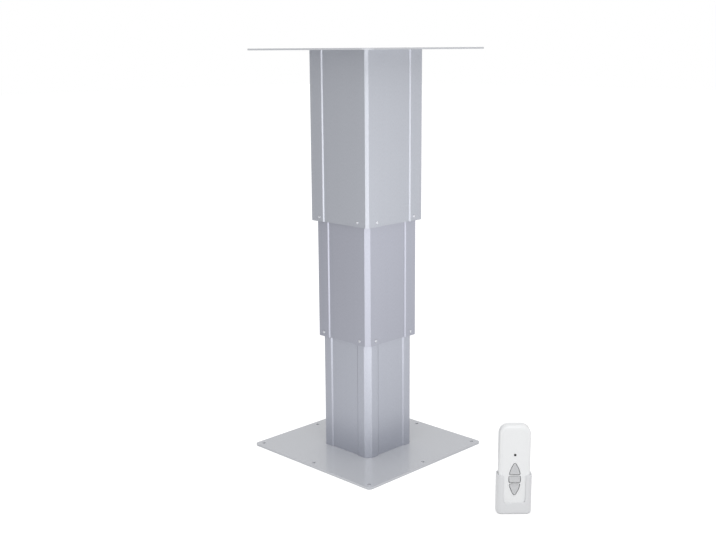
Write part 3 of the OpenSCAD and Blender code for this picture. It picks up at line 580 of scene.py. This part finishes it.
tree, given = sized_tree("ball_circle", Count="Int", Pitch_Radius="Float")
circle = add_node(
    tree, "GeometryNodeMeshCircle", Vertices=given["Count"], Radius=given["Pitch Radius"]
)
placed = add_node(tree, "GeometryNodeInstanceOnPoints", Points=circle, Instance=given["Geometry"])
ball_circle = close_tree(tree, given, placed)
low, high = box_mm("bearing_balls")
ball_r = (high.z - low.z) / 2
form = bmesh.new()
bmesh.ops.create_icosphere(form, subdivisions=3, radius=ball_r)
balls = moulded(form, "bearing_balls_ground", as_drawn)
run_tree(balls, ball_circle, Count=14, Pitch_Radius=high.x - ball_r, Finish=bearing_steel)
balls.data.transform(to_metres @ Matrix.Translation((0, 0, low.z + ball_r)))
balls.data.shade_smooth()
dress(balls, "middle_stage", stands_for="bearing_balls")

dress_copy("bearing_retainer", "pressed", "middle_stage", milled_steel, 0.25)
four_screws(
    "bearing_retainer_screws", "middle_stage", box_mm("bearing_retainer")[1].z,
    shank_r=1.5, head_r=2.7, head_h=1.4, length=7.0, pitch=0.5,
)

# the circlip: an open ring, deepest opposite its gap
low, high = box_mm("bearing_circlip")
inside, taper, half_gap, steps = groove_r + 0.1, 0.7, 14, 48
loops = []
for i in range(steps + 1):
    turn = math.radians(half_gap + (360 - 2 * half_gap) * i / steps)
    outside = high.x - taper * (1 + math.cos(turn)) / 2
    corners = ((inside, low.z), (outside, low.z), (outside, high.z), (inside, high.z))
    loops.append([(r * math.cos(turn), r * math.sin(turn), z) for r, z in corners])
circlip = lofted("bearing_circlip_tempered", loops, to_metres)
ease_edges(circlip, 0.15)
dress(circlip, "hollow_spindle", spring_steel, "bearing_circlip")

# -------- inner screw
# A solid screw of the same lead turns in the bronze nut. Its top is fixed in
# the gearbox with a washer and a nut, and a bolt in its foot is the end stop.
screw_foot, screw_top = (corner.z for corner in box_mm("inner_screw"))
thread_top = box_mm("gearbox_housing")[0].z + 3.0
stem_r, stop_bore_r = 6.0, 3.05
inner = turned(
    "inner_screw_rolled",
    [
        (stop_bore_r, screw_foot), (5.6, screw_foot), (stem_r, screw_foot + 0.4),
        (stem_r, thread_top - 1), (7.9, thread_top - 0.8), (7.9, thread_top),
        (stem_r, thread_top), (stem_r, screw_top - 20), (5.3, screw_top - 19.4),
        (5.3, screw_top - 0.6), (4.7, screw_top), (2.0, screw_top), (0.4, screw_top - 2.0),
        (0.4, screw_foot + 14.0), (stop_bore_r, screw_foot + 13.0),
    ],
    count=48, bored=True,
)
run_tree(
    inner, rolled_thread, Crest_Radius=8.0, Root_Radius=5.8, Pitch=4.0, Starts=4,
    From_Height=screw_foot + 1.6, Length=thread_top - screw_foot - 4.0, Steps=32,
    Finish=rolled_steel,
)
run_tree(
    inner, rolled_thread, Crest_Radius=stem_r, Root_Radius=5.2, Pitch=1.5, Starts=1,
    From_Height=screw_top - 18.5, Length=17.5, Steps=24, Finish=rolled_steel,
)
put_in_place(inner)
dress(inner, "inner_spindle", stands_for="inner_screw")

stop_bolt = socket_screw(
    "screw_stop_bolt_threaded", black_oxide,
    shank_r=3.0, head_r=9.6, head_h=3.0, length=12.0, pitch=1.0,
)
put_in_place(
    stop_bolt,
    to_metres @ Matrix.Translation((0, 0, screw_foot)) @ Matrix.Rotation(math.pi, 4, "X"),
)
dress(stop_bolt, "inner_spindle", stands_for="screw_stop_bolt")


def hex_nut(name, corner_r, bore_r, low, high, place):
    """A hexagon nut with chamfered corners, its bore along the local Z axis."""
    rim = corner_r * math.cos(math.pi / 6)
    nut = turned(
        name,
        [
            (bore_r + 0.5, low), (rim, low), (corner_r, low + 0.7, 6), (corner_r, high - 0.7, 6),
            (rim, high), (bore_r + 0.5, high), (bore_r, high - 0.5), (bore_r, low + 0.5),
        ],
        place, count=48, bored=True,
    )
    nut.data.set_sharp_from_angle(angle=math.radians(28))
    return nut


low, high = box_mm("screw_top_nut")
top_nut = hex_nut("screw_top_nut_chamfered", high.x, stem_r + 0.05, low.z, high.z, to_metres)
dress(top_nut, "inner_spindle", zinc, "screw_top_nut")
dress_copy("screw_washer", "pressed", "inner_spindle", zinc, 0.3)

# -------- gearbox
# Two die-cast aluminium halves around the worm gear, with ribs on the worm's
# side and four bosses that hang it from the top plate.
cast_aluminium = new_material("die_cast_aluminium", Metallic=1.0)
grain_bump(cast_aluminium, 0.7, 0.06, 0.4)
flow = pattern_on(cast_aluminium, "ShaderNodeTexNoise", Scale=60, Detail=4.0)
mottle(cast_aluminium, flow, "Roughness", 0.42, 0.6)
mottle(cast_aluminium, flow, "Base Color", "#9c9ea2", "#b2b4b8")
for node in ("gearbox_housing", "gearbox_cover"):
    dress_copy(node, "cast", "upper_stage", cast_aluminium, 0.6)
four_screws(
    "gearbox_cover_screws", "upper_stage", box_mm("gearbox_cover_screws")[1].z - 1.4,
    shank_r=1.5, head_r=2.7, head_h=1.4, length=14.0, pitch=0.5,
)

# -------- motor
# A drawn steel can, zinc plated and grey, with a bead rolled round each end.
# A moulded black cap with six vents closes it.
can_steel = new_material("zinc_plated_motor_can", Base_Color="#7d7f84", Metallic=1.0)
grain = grain_bump(can_steel, 0.8, 0.01, 0.2, stretch=(1, 0.2, 0.2))
mottle(can_steel, grain, "Roughness", 0.3, 0.44)
low, high = box_mm("motor_can")
can_r, can_h = (high.z - low.z) / 2, high.x - low.x
bead_r = can_r - 0.4
near_end = [
    (can_r - 1.6, 0.0), (can_r - 0.5, 0.3), (can_r, 1.0), (can_r, 3.0), (bead_r, 3.5),
    (bead_r, 4.2), (can_r, 4.7),
]
far_end = [(radius, can_h - height) for radius, height in reversed(near_end)]
along_drive = (
    to_metres
    @ Matrix.Translation((high.x, (low.y + high.y) / 2, (low.z + high.z) / 2))
    @ Matrix.Rotation(-math.pi / 2, 4, "Y")
)
can = turned("motor_can_drawn", near_end + far_end, along_drive, count=64)
can.data.set_sharp_from_angle(angle=math.radians(50))
dress(can, "upper_stage", can_steel, "motor_can")

black_abs = new_material("moulded_black_abs", Base_Color="#19191b", IOR=1.53)
mottle(black_abs, grain_bump(black_abs, 0.5, 0.04, 0.4), "Roughness", 0.36, 0.5)
dress_copy("motor_end_cap", "moulded", "upper_stage", black_abs, 0.3)

# -------- receiver
# A black ABS box under the top plate holds the radio receiver: a green board
# on four pads with two relays and a terminal block, closed by a cover from
# below with four small screws.
for node in ("receiver_case", "receiver_cover"):
    dress_copy(node, "moulded", "upper_stage", black_abs, 0.3)
four_screws(
    "receiver_screws", "upper_stage", box_mm("receiver_cover")[0].z, upside_down,
    shank_r=1.0, head_r=1.9, head_h=1.2, length=8.0, pitch=0.4,
)


def solder_mask(name, turn):
    """Dark green lacquer over copper, with lighter tracks across the board's own plane."""
    mask = new_material(name, Roughness=0.3, Coat_Weight=0.4, Coat_Roughness=0.1)
    tracks = pattern_on(
        mask, "ShaderNodeTexBrick", {"offset": 0.37, "squash": 1.6, "squash_frequency": 3},
        turn=turn, Color1="#1c5230", Color2="#246b3c", Mortar="#3f8f52", Scale=60.0,
        Mortar_Size=0.03, Brick_Width=0.7, Row_Height=0.16,
    )
    set_surface(mask, Base_Color=tracks)
    emboss(mask, tracks.outputs["Fac"], 0.04, 0.4)
    return mask


level_mask = solder_mask("green_solder_mask", (0, 0, 0))
dress_copy("receiver_board", "etched", "upper_stage", level_mask, 0.15)

# -------- power socket
# A panel socket for the supply's round plug, moulded in black ABS with a
# plated centre pin. Its threaded barrel goes through the upper tube's sunk back
# panel, and a thin hexagon nut inside pulls its flange down.
low, high = box_mm("power_socket")
barrel_r, bore_r, flange_r, flange_h, face_y, foot_y = 5.9, 3.3, 8.0, 1.6, high.y, low.y
out_of_back = (
    to_metres
    @ Matrix.Translation((0, 0, (low.z + high.z) / 2))
    @ Matrix.Rotation(-math.pi / 2, 4, "X")
)
core = barrel_r - 0.5
socket = turned(
    "power_socket_moulded",
    [
        (core - 0.4, foot_y), (core, foot_y + 0.4), (core, face_y - 2.6), (barrel_r, face_y - 2.0),
        (barrel_r, face_y - flange_h), (flange_r, face_y - flange_h), (flange_r, face_y - 0.8),
        (flange_r - 0.25, face_y - 0.3), (flange_r - 0.8, face_y), (bore_r + 1.2, face_y),
        (bore_r + 1.0, face_y - 0.3), (bore_r, face_y - 0.8), (bore_r, face_y - 10.0),
    ],
    count=48,
)
run_tree(
    socket, rolled_thread, Crest_Radius=barrel_r, Root_Radius=core - 0.1, Pitch=0.75, Starts=1,
    From_Height=foot_y + 0.6, Length=face_y - foot_y - 3.6, Steps=24, Finish=black_abs,
)
put_in_place(socket, out_of_back)
dress(socket, "upper_stage", stands_for="power_socket")
outline = [(r, face_y - depth) for r, depth in ((1.0, 10.4), (1.0, 2.6), (0.8, 2.1), (0.3, 1.9))]
pin = turned("power_socket_pin", outline, out_of_back, count=24)
dress(pin, "upper_stage", zinc)
low, high = box_mm("power_socket_nut")
socket_nut = hex_nut("power_socket_nut_thin", 8.6, barrel_r + 0.05, low.y, high.y, out_of_back)
dress(socket_nut, "upper_stage", zinc, "power_socket_nut")

# -------- top plate
# The 3 mm steel plate that carries the load, with wider corners and the same
# lacquer as the base. Sunk screws hold it to four steel blocks in the upper
# tube, and four more hold the gearbox under its middle.
dress_copy("upper_corner_blocks", "milled", "upper_stage", milled_steel, 0.4)
dress_copy("top_plate", "lacquered", "upper_stage", silver_lacquer, 0.4)
for node, length in (("top_screws", 13.0), ("gearbox_mount_screws", 12.0)):
    four_screws(
        node, "upper_stage", box_mm("top_plate")[1].z - 0.2,
        shank_r=2.5, head_r=5.0, head_h=2.5, length=length, pitch=0.8, sunk=True,
    )

# -------- remote holder
# The cradle that the handset stands in: moulded pale grey ABS with a closed
# foot, two arms and an open front. Its lower edge is rolled under.
low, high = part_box("remote_holder")
stand = (
    Matrix.Translation(((low.x + high.x) / 2, (low.y + high.y) / 2, 0))
    @ Matrix.Rotation(math.radians(45), 4, "Z")
    @ to_metres
)


def rounded_section(half_w, half_t, radius, steps=8):
    """Corners of a rounded rectangle, anticlockwise from the right-hand side."""
    return [
        (sx * (half_w - radius) + radius * c, sy * (half_t - radius) + radius * s)
        for quarter, (sx, sy) in enumerate(((1, 1), (-1, 1), (-1, -1), (1, -1)))
        for c, s in quarter_turn(steps, quarter)
    ]


def slab(name, outline, near, far):
    """A flat upright piece from an outline of widths and heights, between two depths."""
    return lofted(name, [[(x, y, z) for x, z in outline] for y in (near, far)], stand)


def cut_out(piece, cutter):
    """Takes the cutter out of the piece and removes it."""
    knife = piece.modifiers.new("opening", "BOOLEAN")
    knife.operation = "DIFFERENCE"
    knife.solver = "EXACT"
    knife.object = cutter
    keep_result(piece)
    bpy.data.objects.remove(cutter)


half_w, half_t, holder_h, floor_z = 28.0, 13.0, 66.0, 5.5
corner_r, tuck_r, wall = 8.0, 4.0, 2.5
levels = []
for c, s in quarter_turn(6):
    tuck = tuck_r * (1 - s)
    levels.append((half_w - tuck, half_t - tuck, corner_r - tuck, tuck_r * (1 - c)))
levels.append((half_w, half_t, corner_r, holder_h))
levels += [(half_w - wall, half_t - wall, corner_r - wall, z) for z in (holder_h, floor_z)]
loops = [[(x, y, z) for x, y in rounded_section(a, b, r)] for a, b, r, z in levels]
holder = lofted("remote_holder_moulded", loops, stand)
half_w, sill_z, corner_r = 17.5, 19.0, 6.0
rim = [(half_w, holder_h + 5)]
rim += [
    (half_w - corner_r * (1 - c), sill_z + corner_r * (1 - s)) for c, s in quarter_turn(8)
]
rim += [(-x, z) for x, z in reversed(rim)]
cut_out(holder, slab("window_cutter", rim, -20.0, -6.0))
ease_edges(holder, 0.7, segments=3)

white_abs = new_material(
    "moulded_white_abs", Base_Color="#eeeff0", Roughness=0.28, IOR=1.53,
    Subsurface_Weight=0.05, Subsurface_Radius=(0.002, 0.002, 0.002),
)
grain_bump(white_abs, 0.6, 0.02, 0.12)
pale_abs = new_material("moulded_pale_grey_abs", Base_Color="#dedfe1", IOR=1.53)
mottle(pale_abs, grain_bump(pale_abs, 0.6, 0.03, 0.2), "Roughness", 0.3, 0.38)
dress(holder, "root", pale_abs, "remote_holder")

# -------- handset shells
# Two thin white ABS shells that meet at a fine parting line. The front one
# has a flat face panel, a raised surround for the three buttons and the lamp.
case_w, case_t, case_foot, case_top, case_wall = 50.0, 20.0, 6.0, 148.0, 2.0
case_corner, case_top_r, case_foot_r, case_end_r, half_parting = 5.0, 15.0, 6.0, 4.0, 0.06


def pulled_in(distance, radius):
    """How far a rounded end of that radius stands in, that distance from its tip."""
    if distance >= radius:
        return 0.0
    return radius - math.sqrt(max(radius**2 - (radius - distance) ** 2, 0.0))


def case_levels(inset):
    """Heights of the handset's cross-sections with their half width and half thickness."""
    low, high = case_foot + inset, case_top - inset
    foot_r, top_r = case_foot_r - inset, case_top_r - inset
    straight = high - top_r - low - foot_r
    steps = [low + foot_r * (1 - c) for c, s in quarter_turn(8)]
    steps += [low + foot_r + straight * i / 10 for i in range(1, 10)]
    steps += [high - top_r + top_r * s for c, s in quarter_turn(14)]
    levels = []
    for z in steps:
        side = max(pulled_in(z - low, foot_r), pulled_in(high - z, top_r))
        edge = pulled_in(min(z - low, high - z), case_end_r - inset)
        levels.append((z, case_w / 2 - inset - side, case_t / 2 - inset - edge))
    return levels


def case_row(level, inset, sign, lip):
    """Half a cross-section, from one side over the front (sign -1) or back (+1) to the other."""
    z, half_w, half_t = level
    radius = case_corner - inset
    flat_w, flat_t = half_w - radius, half_t - radius
    row = [(half_w - lip, half_parting), (half_w, half_parting + lip)]
    row += [(flat_w + radius * c, flat_t + radius * s) for c, s in quarter_turn(8)]
    row += [(flat_w * (1 - i / 6), half_t) for i in range(1, 6)]
    row += [(0.0, half_t)] + [(-x, y) for x, y in reversed(row)]
    return [(x, sign * y, z) for x, y in row]


def case_shell(name, sign):
    """A thin shell of the handset, closed along its parting line."""
    form = bmesh.new()
    rims = []
    for inset, lip in ((0, 0.3), (case_wall, 0.0)):
        loops = [case_row(level, inset, sign, lip) for level in case_levels(inset)]
        rows = skin(form, loops, closed_rows=False)
        rims.append([row[0] for row in rows] + [row[-1] for row in reversed(rows)])
    outer, inner = rims
    for i in range(len(outer)):
        form.faces.new((outer[i - 1], outer[i], inner[i], inner[i - 1]))
    return moulded(form, name, stand)


lens_mid, lens_half_h, lens_half_w = 59.5, 27.5, 9.0
lens_r = (lens_half_h**2 + lens_half_w**2) / (2 * lens_half_w)


def lens_outline(low, high, grow, corner, count=72):
    """The buttons' shared lens between two heights, grown and with its corners rounded."""
    spare = grow - corner
    reach = lens_r + spare
    inner = []
    for i in range(41):
        z = low - spare + (high - low + 2 * spare) * i / 40
        half = math.sqrt(max(reach**2 - (z - lens_mid) ** 2, 0)) - (lens_r - lens_half_w)
        if half >= 0:
            inner += [(half, z), (-half, z)]
    points = []
    for i in range(count):
        c, s = math.cos(math.tau * i / count), math.sin(math.tau * i / count)
        x, z = max(inner, key=lambda p: p[0] * c + p[1] * s)
        points.append((x + corner * c, z + corner * s))
    return points


def lens_solid(name, low, high, profile):
    """A solid on the handset's front whose outline grows and shrinks along its depth."""
    loops = []
    for grow, y in profile:
        corner = max(1.6 + grow, 0.3)
        loops.append([(x, y, z) for x, z in lens_outline(low, high, grow, corner)])
    return lofted(name, loops, stand)


button_rows = {
    "up_button": (67.3, 87.0), "stop_button": (54.3, 64.3), "down_button": (32.0, 51.3)
}
button_clear = 1.0
handset_front = case_shell("handset_front_shell", -1)
handset_back = case_shell("handset_back_shell", 1)
panel_mid_z = 84.0
panel = [(x, z + panel_mid_z) for x, z in rounded_section(case_w / 2 - 5.5, 59.0, 10.0)]
face_panel = slab("handset_face_panel", panel, -9.0, -10.35)
surround = lens_solid(
    "handset_button_surround", 32.0, 87.0,
    [(3.2, -9.2), (3.2, -10.5), (3.0, -10.75), (2.6, -10.85)],
)
for piece in (handset_front, face_panel, surround):
    for low, high in button_rows.values():
        opening = [(button_clear, -4.0), (button_clear, -14.0)]
        cut_out(piece, lens_solid("opening", low, high, opening))
dress(handset_front, "handset", white_abs, "handset_front")
for piece in (face_panel, surround):
    ease_edges(piece, 0.2)
    dress(piece, "handset", white_abs)


def back_plate(name, half_w, half_h, radius, near, far):
    """A flat rounded form on the handset's back between two depths, or the cutter for one."""
    outline = [(x, z + door_mid_z) for x, z in rounded_section(half_w, half_h, radius)]
    return slab(name, outline, near, far)


door_half_w, door_half_h, door_gap, door_ledge = 15.0, 20.0, 0.2, 2.0
door_mid_z, back_y, past_back = 104.0, case_t / 2, 14.0
door_y = back_y - 1.2
recess = back_plate(
    "recess", door_half_w + door_gap, door_half_h + door_gap, 2.6, door_y - 0.1, past_back
)
cut_out(handset_back, recess)
opening = back_plate(
    "opening", door_half_w - door_ledge, door_half_h - door_ledge, 1.5, 6.0, past_back
)
cut_out(handset_back, opening)
screw_x, screw_z, screw_sink = 19.0, 76.0, 1.4
two_places = {"Count": 2, "Step": (2 * screw_x, 0.0, 0.0), "Turn": (-math.pi / 2, 0.0, 0.0)}
wells = turned("wells", [(2.2, -screw_sink), (2.2, 0.0), (2.6, 0.5), (2.6, 3.0)], count=24)
run_tree(wells, even_row, Start=(-screw_x, back_y, screw_z), Finish=white_abs, **two_places)
put_in_place(wells, stand)
cut_out(handset_back, wells)
ease_edges(handset_back, 0.12, angle=50)
dress(handset_back, "handset", white_abs, "handset_back")

# -------- battery door
# A white ABS lid that slides into the back shell, flush with it, with three
# finger grooves near its lower end. Two screws below it hold the shells.
door = back_plate("battery_door_moulded", door_half_w, door_half_h, 2.4, door_y, back_y)
loops = [
    [(x, y, z) for x, z in rounded_section(half_w, half_h, half_h * 0.98, 4)]
    for half_w, half_h, y in ((5.6, 0.25, -0.5), (6.0, 0.55, -0.2), (6.25, 0.8, 0.3))
]
grooves = lofted("grooves", loops)
run_tree(
    grooves, even_row, Count=3, Start=(0.0, back_y, 89.5), Step=(0.0, 0.0, 2.5), Finish=white_abs
)
put_in_place(grooves, stand)
cut_out(door, grooves)
ease_edges(door, 0.15, angle=40)
dress(door, "battery_lid", white_abs, "battery_door")

case_screws = socket_screw(
    "handset_screws_threaded", black_oxide,
    shank_r=1.1, head_r=2.0, head_h=1.0, length=13.6, pitch=0.45,
)
run_tree(
    case_screws, even_row, Start=(-screw_x, back_y - screw_sink, screw_z), Finish=black_oxide,
    **two_places,
)
put_in_place(case_screws, stand)
dress(case_screws, "handset", stands_for="handset_screws")

# -------- signal lamp
# A 3 mm lamp in black tinted epoxy. It is set in the face panel, with a thin
# rim round its low dome.
lamp_z = 100.0
lamp_cap = turned(
    "handset_signal_lamp",
    [
        (1.5, 5.2), (1.5, 10.3), (2.05, 10.3), (2.05, 10.55), (1.85, 10.7), (1.5, 10.75),
        (1.38, 10.9), (1.05, 11.05), (0.55, 11.15),
    ],
    stand @ Matrix.Translation((0, 0, lamp_z)) @ Matrix.Rotation(math.pi / 2, 4, "X"), count=24,
)
black_epoxy = new_material("black_tinted_epoxy", Base_Color="#101012", Roughness=0.12, IOR=1.54)
grain_bump(black_epoxy, 0.5, 0.005, 0.1)
dress(lamp_cap, "handset", black_epoxy, "handset_led")

# -------- buttons
# Up, stop and down keys of light grey ABS. Each has a soft edge, a shallow
# dish for the finger and a hidden flange that keeps it in the shell.
grey_abs = new_material("moulded_grey_abs", Base_Color="#c9cacc", Roughness=0.4, IOR=1.53)
grain_bump(grey_abs, 0.4, 0.02, 0.2)
key_profile = [
    (1.0, -6.8), (1.0, -7.7), (0.0, -7.7), (0.0, -10.4), (-0.12, -10.75), (-0.4, -11.05),
    (-0.85, -11.2), (-1.6, -11.2), (-2.2, -11.1), (-3.0, -10.85),
]
for node, (low, high) in button_rows.items():
    key = lens_solid(node + "_key", low, high, key_profile)
    ease_edges(key, 0.12)
    dress(key, node.replace("button", "key"), grey_abs, node)

# -------- handset's inside
# A green board behind the keys, with a plated snap dome under each key, and a
# 12 V cell in a foil sleeve behind the battery door.
upright_mask = solder_mask("green_solder_mask_upright", (math.pi / 2, 0, 0))
dress_copy("handset_board", "etched", "handset", upright_mask, 0.1)

board_y, top_dome_z, dome_step = -5.2, 77.15, -17.75
outline = [(3.0, 0.0), (3.0, 0.12), (2.6, 0.35), (1.6, 0.5), (0.5, 0.54)]
domes = turned("key_snap_domes", outline, count=24)
run_tree(
    domes, even_row, Count=3, Start=(0.0, board_y, top_dome_z), Step=(0.0, 0.0, dome_step),
    Turn=(math.pi / 2, 0.0, 0.0), Finish=zinc,
)
put_in_place(domes, stand)
dress(domes, "handset")

# brass coloured at the cell's foot and black above
foil = new_material("printed_foil_sleeve", Metallic=0.6, Roughness=0.3)
tree = foil.node_tree
place = add_node(tree, "ShaderNodeTexCoord").outputs["Object"]
height = add_node(tree, "ShaderNodeSeparateXYZ", Vector=place).outputs["Z"]
upper = add_node(tree, "ShaderNodeMath", "GREATER_THAN", _0=height, _1=0.0985)
two_bands = add_node(
    tree, "ShaderNodeMix", {"data_type": "RGBA"}, Factor=upper, _6="#c19a5b", _7="#26262a"
)
set_surface(foil, Base_Color=two_bands.outputs[2])
grain_bump(foil, 1.5, 0.02, 0.15)
cell_r, cell_low, cell_high, cell_y = 5.15, 90.0, 118.5, 1.65
cell = turned(
    "handset_cell",
    [
        (4.2, cell_low), (4.7, cell_low + 0.15), (cell_r, cell_low + 0.7),
        (cell_r, cell_high - 1.6), (4.7, cell_high - 1.1), (3.2, cell_high - 1.0),
        (1.9, cell_high - 0.9), (1.8, cell_high - 0.15), (1.6, cell_high),
    ],
    stand @ Matrix.Translation((0, cell_y, 0)), count=40,
)
cell.data.set_sharp_from_angle(angle=math.radians(40))
dress(cell, "handset", foil, "handset_battery")


# -------- studio
# A white sweep with soft light all round and one broad, dim softbox high over
# the camera. Gloss sees walls that darken to the left and a floor that is bright
# in front. The floor keeps a faint shadow, and from below it is clear.
def gloss_and_camera(tree):
    """Which rays come from gloss or glass, and which come from the camera."""
    rays = add_node(tree, "ShaderNodeLightPath").outputs
    gloss = add_node(
        tree, "ShaderNodeMath", "MAXIMUM", _0=rays["Is Glossy Ray"], _1=rays["Is Transmission Ray"]
    )
    return gloss, rays["Is Camera Ray"]


def fade_along(tree, space, direction, start, end, low, high):
    """A smooth change from one brightness to another along a direction."""
    spot = add_node(tree, "ShaderNodeTexCoord").outputs[space]
    along = add_node(tree, "ShaderNodeVectorMath", "DOT_PRODUCT", _0=spot, _1=direction)
    return add_node(
        tree, "ShaderNodeMapRange", {"interpolation_type": "SMOOTHSTEP"},
        Value=along.outputs["Value"], _1=start, _2=end, _3=low, _4=high,
    )


bpy.ops.mesh.primitive_plane_add(size=30, location=(0, 0, -0.0002))
floor = bpy.context.object
floor.name = "floor"
sweep = new_material("white_sweep")
tree = sweep.node_tree
tree.nodes.clear()
gloss, camera_ray = gloss_and_camera(tree)
frontward, white = (0.8, -0.6, 0.0), "#ffffff"
near_front = fade_along(tree, "Object", frontward, start=-0.45, end=1.2, low=0.04, high=1.5)
far_front = fade_along(tree, "Object", frontward, start=2.5, end=4.5, low=0.0, high=0.9)
glows = add_node(tree, "ShaderNodeMath", "ADD", _0=near_front, _1=far_front)
mirrored = add_node(tree, "ShaderNodeMath", "MULTIPLY", _0=gloss, _1=glows)
plain = add_node(tree, "ShaderNodeMath", "MULTIPLY", _0=camera_ray, _1=0.62)
lift = add_node(tree, "ShaderNodeMath", "MAXIMUM", _0=mirrored, _1=plain)
paper = add_node(tree, "ShaderNodeBsdfDiffuse", Color="#c8c8c8")
glow = add_node(tree, "ShaderNodeEmission", Color=white, Strength=lift)
both = add_node(tree, "ShaderNodeAddShader", _0=paper, _1=glow)
below = add_node(tree, "ShaderNodeNewGeometry").outputs["Backfacing"]
clear = add_node(tree, "ShaderNodeBsdfTransparent")
seen = add_node(tree, "ShaderNodeMixShader", _0=below, _1=both, _2=clear)
add_node(tree, "ShaderNodeOutputMaterial", Surface=seen)
floor.data.materials.append(sweep)

world = scene.world or bpy.data.worlds.new("world")
scene.world = world
world.use_nodes = True
tree = world.node_tree
tree.nodes.clear()
gloss, camera_ray = gloss_and_camera(tree)
rightward = (0.7, 0.7, 0.0)
wall = fade_along(tree, "Generated", rightward, start=-1.0, end=0.5, low=0.66, high=0.77)
mirrored, backdrop, soft = (
    add_node(tree, "ShaderNodeBackground", Color=white, Strength=strength)
    for strength in (wall, 1.0, 0.86)
)
lit = add_node(tree, "ShaderNodeMixShader", _0=gloss, _1=soft, _2=mirrored)
seen = add_node(tree, "ShaderNodeMixShader", _0=camera_ray, _1=lit, _2=backdrop)
add_node(tree, "ShaderNodeOutputWorld", Surface=seen)

softbox = bpy.data.lights.new("high_softbox", "AREA")
softbox.shape = "RECTANGLE"
softbox.size, softbox.size_y, softbox.energy = 6.0, 2.4, 86
lamp = new_object("high_softbox", softbox)
lamp.location, aimed_at = (3.0, -3.0, 3.4), (0, 0, 0.4)
lamp.rotation_euler = (Vector(aimed_at) - lamp.location).to_track_quat("-Z", "Y").to_euler()
lamp.visible_camera = False

view = bpy.data.cameras.new("camera")
view.sensor_width, view.lens, view.clip_end = 36, 52.73, 100
camera = new_object("camera", view)
heading, pitch, roll = 44.9, 11.97, -0.42
camera.matrix_world = (
    Matrix.Translation((1.3042, -1.3317, 0.7303))
    @ Matrix.Rotation(math.radians(heading), 4, "Z")
    @ Matrix.Rotation(math.radians(90 - pitch), 4, "X")
    @ Matrix.Rotation(math.radians(roll), 4, "Z")
)
scene.camera = camera
scene.view_settings.view_transform = "Standard"
